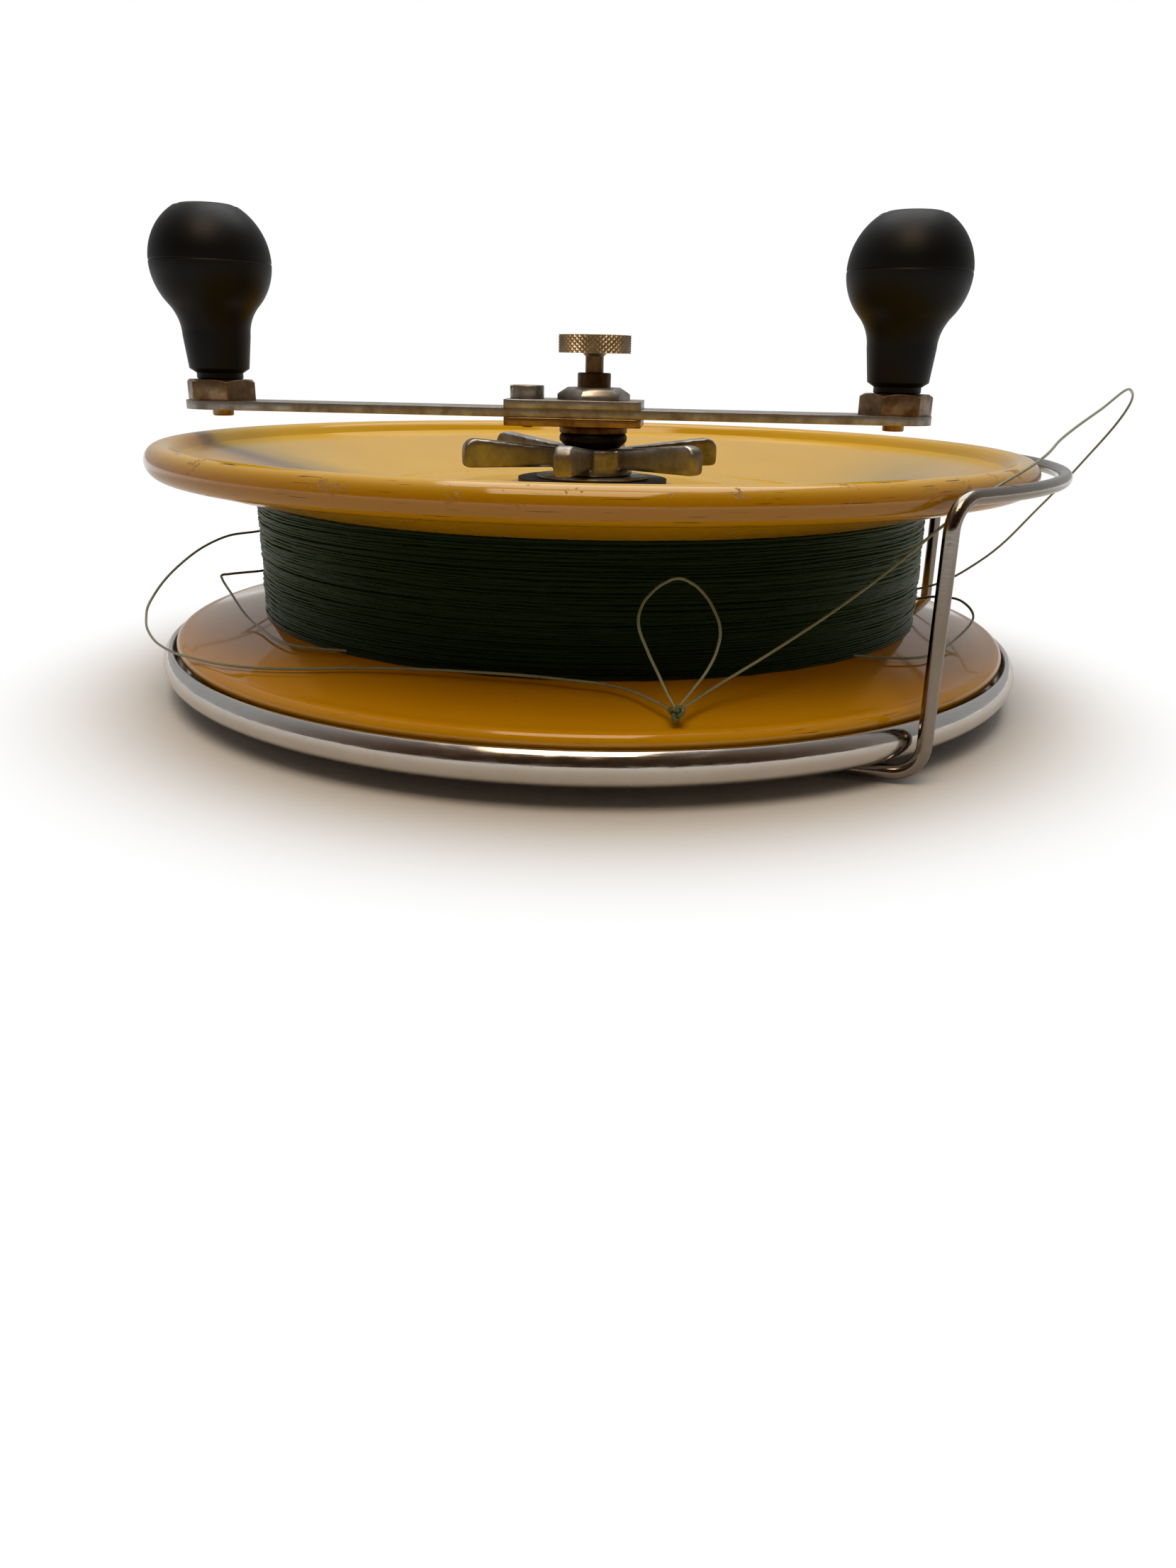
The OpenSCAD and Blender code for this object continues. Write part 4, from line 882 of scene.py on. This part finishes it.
# %% Head of the thumb screw
low, high = box_of("thumb_screw")
HEAD_R, HEAD_H, STEM_R, KNURL, RIM = high.x, 4.2, 1.9, 0.3, 0.35
COLUMNS, ROWS = 80, 7
bpy.ops.object.select_all(action="DESELECT")
bpy.ops.mesh.primitive_cylinder_add(
    vertices=COLUMNS, radius=(HEAD_R - KNURL) * MM, depth=(HEAD_H - 2 * RIM) * MM,
    location=(0, 0, (high.z - HEAD_H / 2) * MM))
head = bpy.context.object
bpy.ops.object.transform_apply(location=True)
bpy.ops.object.mode_set(mode="EDIT")
mesh = bmesh.from_edit_mesh(head.data)
for face in mesh.faces:
    face.select_set(False)
for edge in mesh.edges:
    edge.select_set(abs(edge.verts[0].co.z - edge.verts[1].co.z) > MM)
bmesh.update_edit_mesh(head.data)
bpy.ops.mesh.subdivide(number_cuts=ROWS - 1)
print("head:", COLUMNS, "columns and", ROWS, "rows")

# %% Knurl
mesh = bmesh.from_edit_mesh(head.data)
knurl_low = high.z - HEAD_H + RIM
row_height = (HEAD_H - 2 * RIM) / ROWS
for vert in mesh.verts:
    row = round((vert.co.z / MM - knurl_low) / row_height)
    column = round(atan2(vert.co.y, vert.co.x) * COLUMNS / tau)
    vert.select_set((row + column) % 2 == 0)
mesh.select_flush(False)
bmesh.update_edit_mesh(head.data)
outer = HEAD_R / (HEAD_R - KNURL)
bpy.ops.transform.resize(value=(outer, outer, 1), center_override=(0, 0, 0))
mesh = bmesh.from_edit_mesh(head.data)
for face in mesh.faces:
    face.select_set(len(face.verts) == 4)
bmesh.update_edit_mesh(head.data)
bpy.ops.mesh.quads_convert_to_tris(quad_method="SHORTEST_DIAGONAL")
print("knurl:", len(bmesh.from_edit_mesh(head.data).faces), "faces")

# %% Rims and stem of the thumb screw
inner = (HEAD_R - 2 * KNURL - RIM) / (HEAD_R - KNURL)
for side in (-1, 1):
    bpy.ops.mesh.select_all(action="DESELECT")
    mesh = bmesh.from_edit_mesh(head.data)
    for face in mesh.faces:
        face.select_set(face.normal.z * side > 0.9 and len(face.verts) > 4)
    bmesh.update_edit_mesh(head.data)
    bpy.ops.mesh.extrude_region_move(TRANSFORM_OT_translate={"value": (0, 0, side * RIM * MM)})
    bpy.ops.transform.resize(value=(inner, inner, 1), center_override=(0, 0, 0))
close_mesh()
stem = turned("knurled_screw", [
    (0, low.z), (STEM_R - 0.3, low.z), (STEM_R, low.z + 0.3), (STEM_R, high.z - HEAD_H - 0.3),
    (STEM_R + 0.6, high.z - HEAD_H + 0.3), (0, high.z - HEAD_H + 0.3)], steps=48)
head.select_set(True)
bpy.ops.object.join()
smooth(stem, 22)
settle(stem, screw_metal, "thumb_screw", "brass", "thumb_screw")
stem.data.materials.append(browned)
for face in stem.data.polygons:
    face.material_index = int(face.center.z < (high.z - HEAD_H - RIM) * MM)

# %% [markdown]
# ## Hidden pieces
# The ratchet, the bushes, the washers and the spindle sit inside the drum and show only when the reel is
# taken apart. Their CAD shapes are kept and only get the finishes of their metals and leather.

# %% Hidden pieces
for node, finish in (
        ("spindle", stainless), ("pawl_post", stainless), ("pawl_spring", stainless),
        ("ratchet_pawl", nickel), ("ratchet_wheel", nickel), ("spool_bush", brass),
        ("drag_washer_upper", leather), ("drag_washer_lower", leather)):
    hidden = frame["nodes"][node]
    hidden.data.materials.clear()
    hidden.data.materials.append(finish)
    print(node, "is", finish.name)

# %% [markdown]
# ## Floor, light and surroundings
# The reel lies on a pale table under two soft lamps, a white one above and a little behind it and a warmer
# one in front. Polished metal looks like what it mirrors, so the surroundings matter as much as the lamps:
# bright overhead and behind, and dim and warm in front, as in a room. Away from the reel the table fades to
# plain white for what looks at it directly or in a mirror, and it is clear from below, so that the back can
# be looked at.

# %% Table
TABLE_SIZE, TABLE_GAP = 8, 0.4 * MM
SHADOW_FULL, SHADOW_END = 0.086, 0.13
MIRROR_FULL, MIRROR_END = 0.2, 0.5

bpy.ops.object.select_all(action="DESELECT")
bpy.ops.mesh.primitive_plane_add(size=TABLE_SIZE, location=(0, 0, -TABLE_GAP))
table = bpy.context.object
table.name = "table"
pale, tree, shader, place = new_finish("pale_table_top", "#D0D0CE", 0.7)
reach = add(tree, "VectorMath", {0: place}, operation="LENGTH").outputs["Value"]
path = add(tree, "LightPath").outputs
near = add(tree, "MapRange", {0: reach, 1: SHADOW_FULL, 2: SHADOW_END}, interpolation_type="SMOOTHSTEP")
far = add(tree, "MapRange", {0: reach, 1: MIRROR_FULL, 2: MIRROR_END}, interpolation_type="SMOOTHSTEP")
direct = add(tree, "Math", {0: path["Is Camera Ray"], 1: near.outputs[0]}, operation="MULTIPLY").outputs[0]
mirrored = add(tree, "Math", {0: path["Is Glossy Ray"], 1: far.outputs[0]}, operation="MULTIPLY").outputs[0]
share = add(tree, "Math", {0: direct, 1: mirrored}, operation="MAXIMUM").outputs[0]
glow = add(tree, "Emission", {"Strength": 1.0}).outputs[0]
mixed = add(tree, "MixShader", {0: share, 1: shader.outputs[0], 2: glow}).outputs[0]
underside = add(tree, "NewGeometry").outputs["Backfacing"]
from_below = add(tree, "Math", {0: path["Is Camera Ray"], 1: underside}, operation="MULTIPLY").outputs[0]
clear = add(tree, "BsdfTransparent").outputs[0]
shown = add(tree, "MixShader", {0: from_below, 1: mixed, 2: clear}).outputs[0]
tree.links.new(shown, tree.nodes["Material Output"].inputs["Surface"])
table.data.materials.append(pale)
print("table:", TABLE_SIZE, "m wide")

# %% Surroundings
ROOM_DARK, ROOM_BRIGHT, CEILING, BACKDROP = 0.05, 0.36, 0.7, 0.15
OVERHEAD = (0, 0.42, 0.9)

world = bpy.data.worlds.new("studio")
scene.world = world
world.use_nodes = True
tree = world.node_tree
tree.nodes.clear()
look = add(tree, "TexCoord").outputs["Generated"]
overhead = add(tree, "VectorMath", {0: look, 1: OVERHEAD}, operation="DOT_PRODUCT").outputs["Value"]
ceiling = add(tree, "MapRange", {0: overhead, 1: 0.5, 2: 0.95, 3: 0.0, 4: CEILING},
              interpolation_type="SMOOTHSTEP").outputs[0]
behind = add(tree, "SeparateXYZ", {0: look}).outputs[1]
room = add(tree, "MapRange", {0: behind, 1: -0.95, 2: 0.3, 3: ROOM_DARK, 4: ROOM_BRIGHT},
           interpolation_type="SMOOTHSTEP").outputs[0]
strength = add(tree, "Math", {0: room, 1: ceiling}, operation="MAXIMUM").outputs[0]
whiteness = add(tree, "MapRange", {0: strength, 1: ROOM_DARK, 2: ROOM_BRIGHT}).outputs[0]
tint = add(tree, "MixRGB", {0: whiteness, 1: linear("#E0A878"), 2: linear("#FFFFFF")}).outputs[0]
lit = add(tree, "Background", {"Color": tint, "Strength": strength}).outputs[0]
white = add(tree, "Background", {"Color": linear("#FFFFFF"), "Strength": 1.0}).outputs[0]
path = add(tree, "LightPath").outputs
backdrop = add(tree, "MapRange", {0: behind, 1: 0.2, 2: 0.9, 3: 0.0, 4: BACKDROP}).outputs[0]
mirrored = add(tree, "Math", {0: path["Is Glossy Ray"], 1: backdrop}, operation="MULTIPLY").outputs[0]
share = add(tree, "Math", {0: path["Is Camera Ray"], 1: mirrored}, operation="MAXIMUM").outputs[0]
mixed = add(tree, "MixShader", {0: share, 1: lit, 2: white}).outputs[0]
add(tree, "OutputWorld", {"Surface": mixed})
print("surroundings:", len(tree.nodes), "nodes")

# %% Lamps
AIM = Vector((0, 0, 0.03))
for name, spot, size, power, colour in (
        ("soft_top", (0.05, 0.2, 0.75), 0.6, 3.0, "#FFFFFF"),
        ("soft_front", (-0.05, -0.34, 0.72), 0.4, 2.8, "#FFE2C0")):
    bpy.ops.object.select_all(action="DESELECT")
    bpy.ops.object.light_add(type="AREA", location=spot)
    lamp = bpy.context.object
    lamp.name = name
    lamp.data.size = size
    lamp.data.energy = power
    lamp.data.color = linear(colour)[:3]
    lamp.rotation_euler = (AIM - Vector(spot)).to_track_quat("-Z", "Y").to_euler()
    print(name, power, "W")
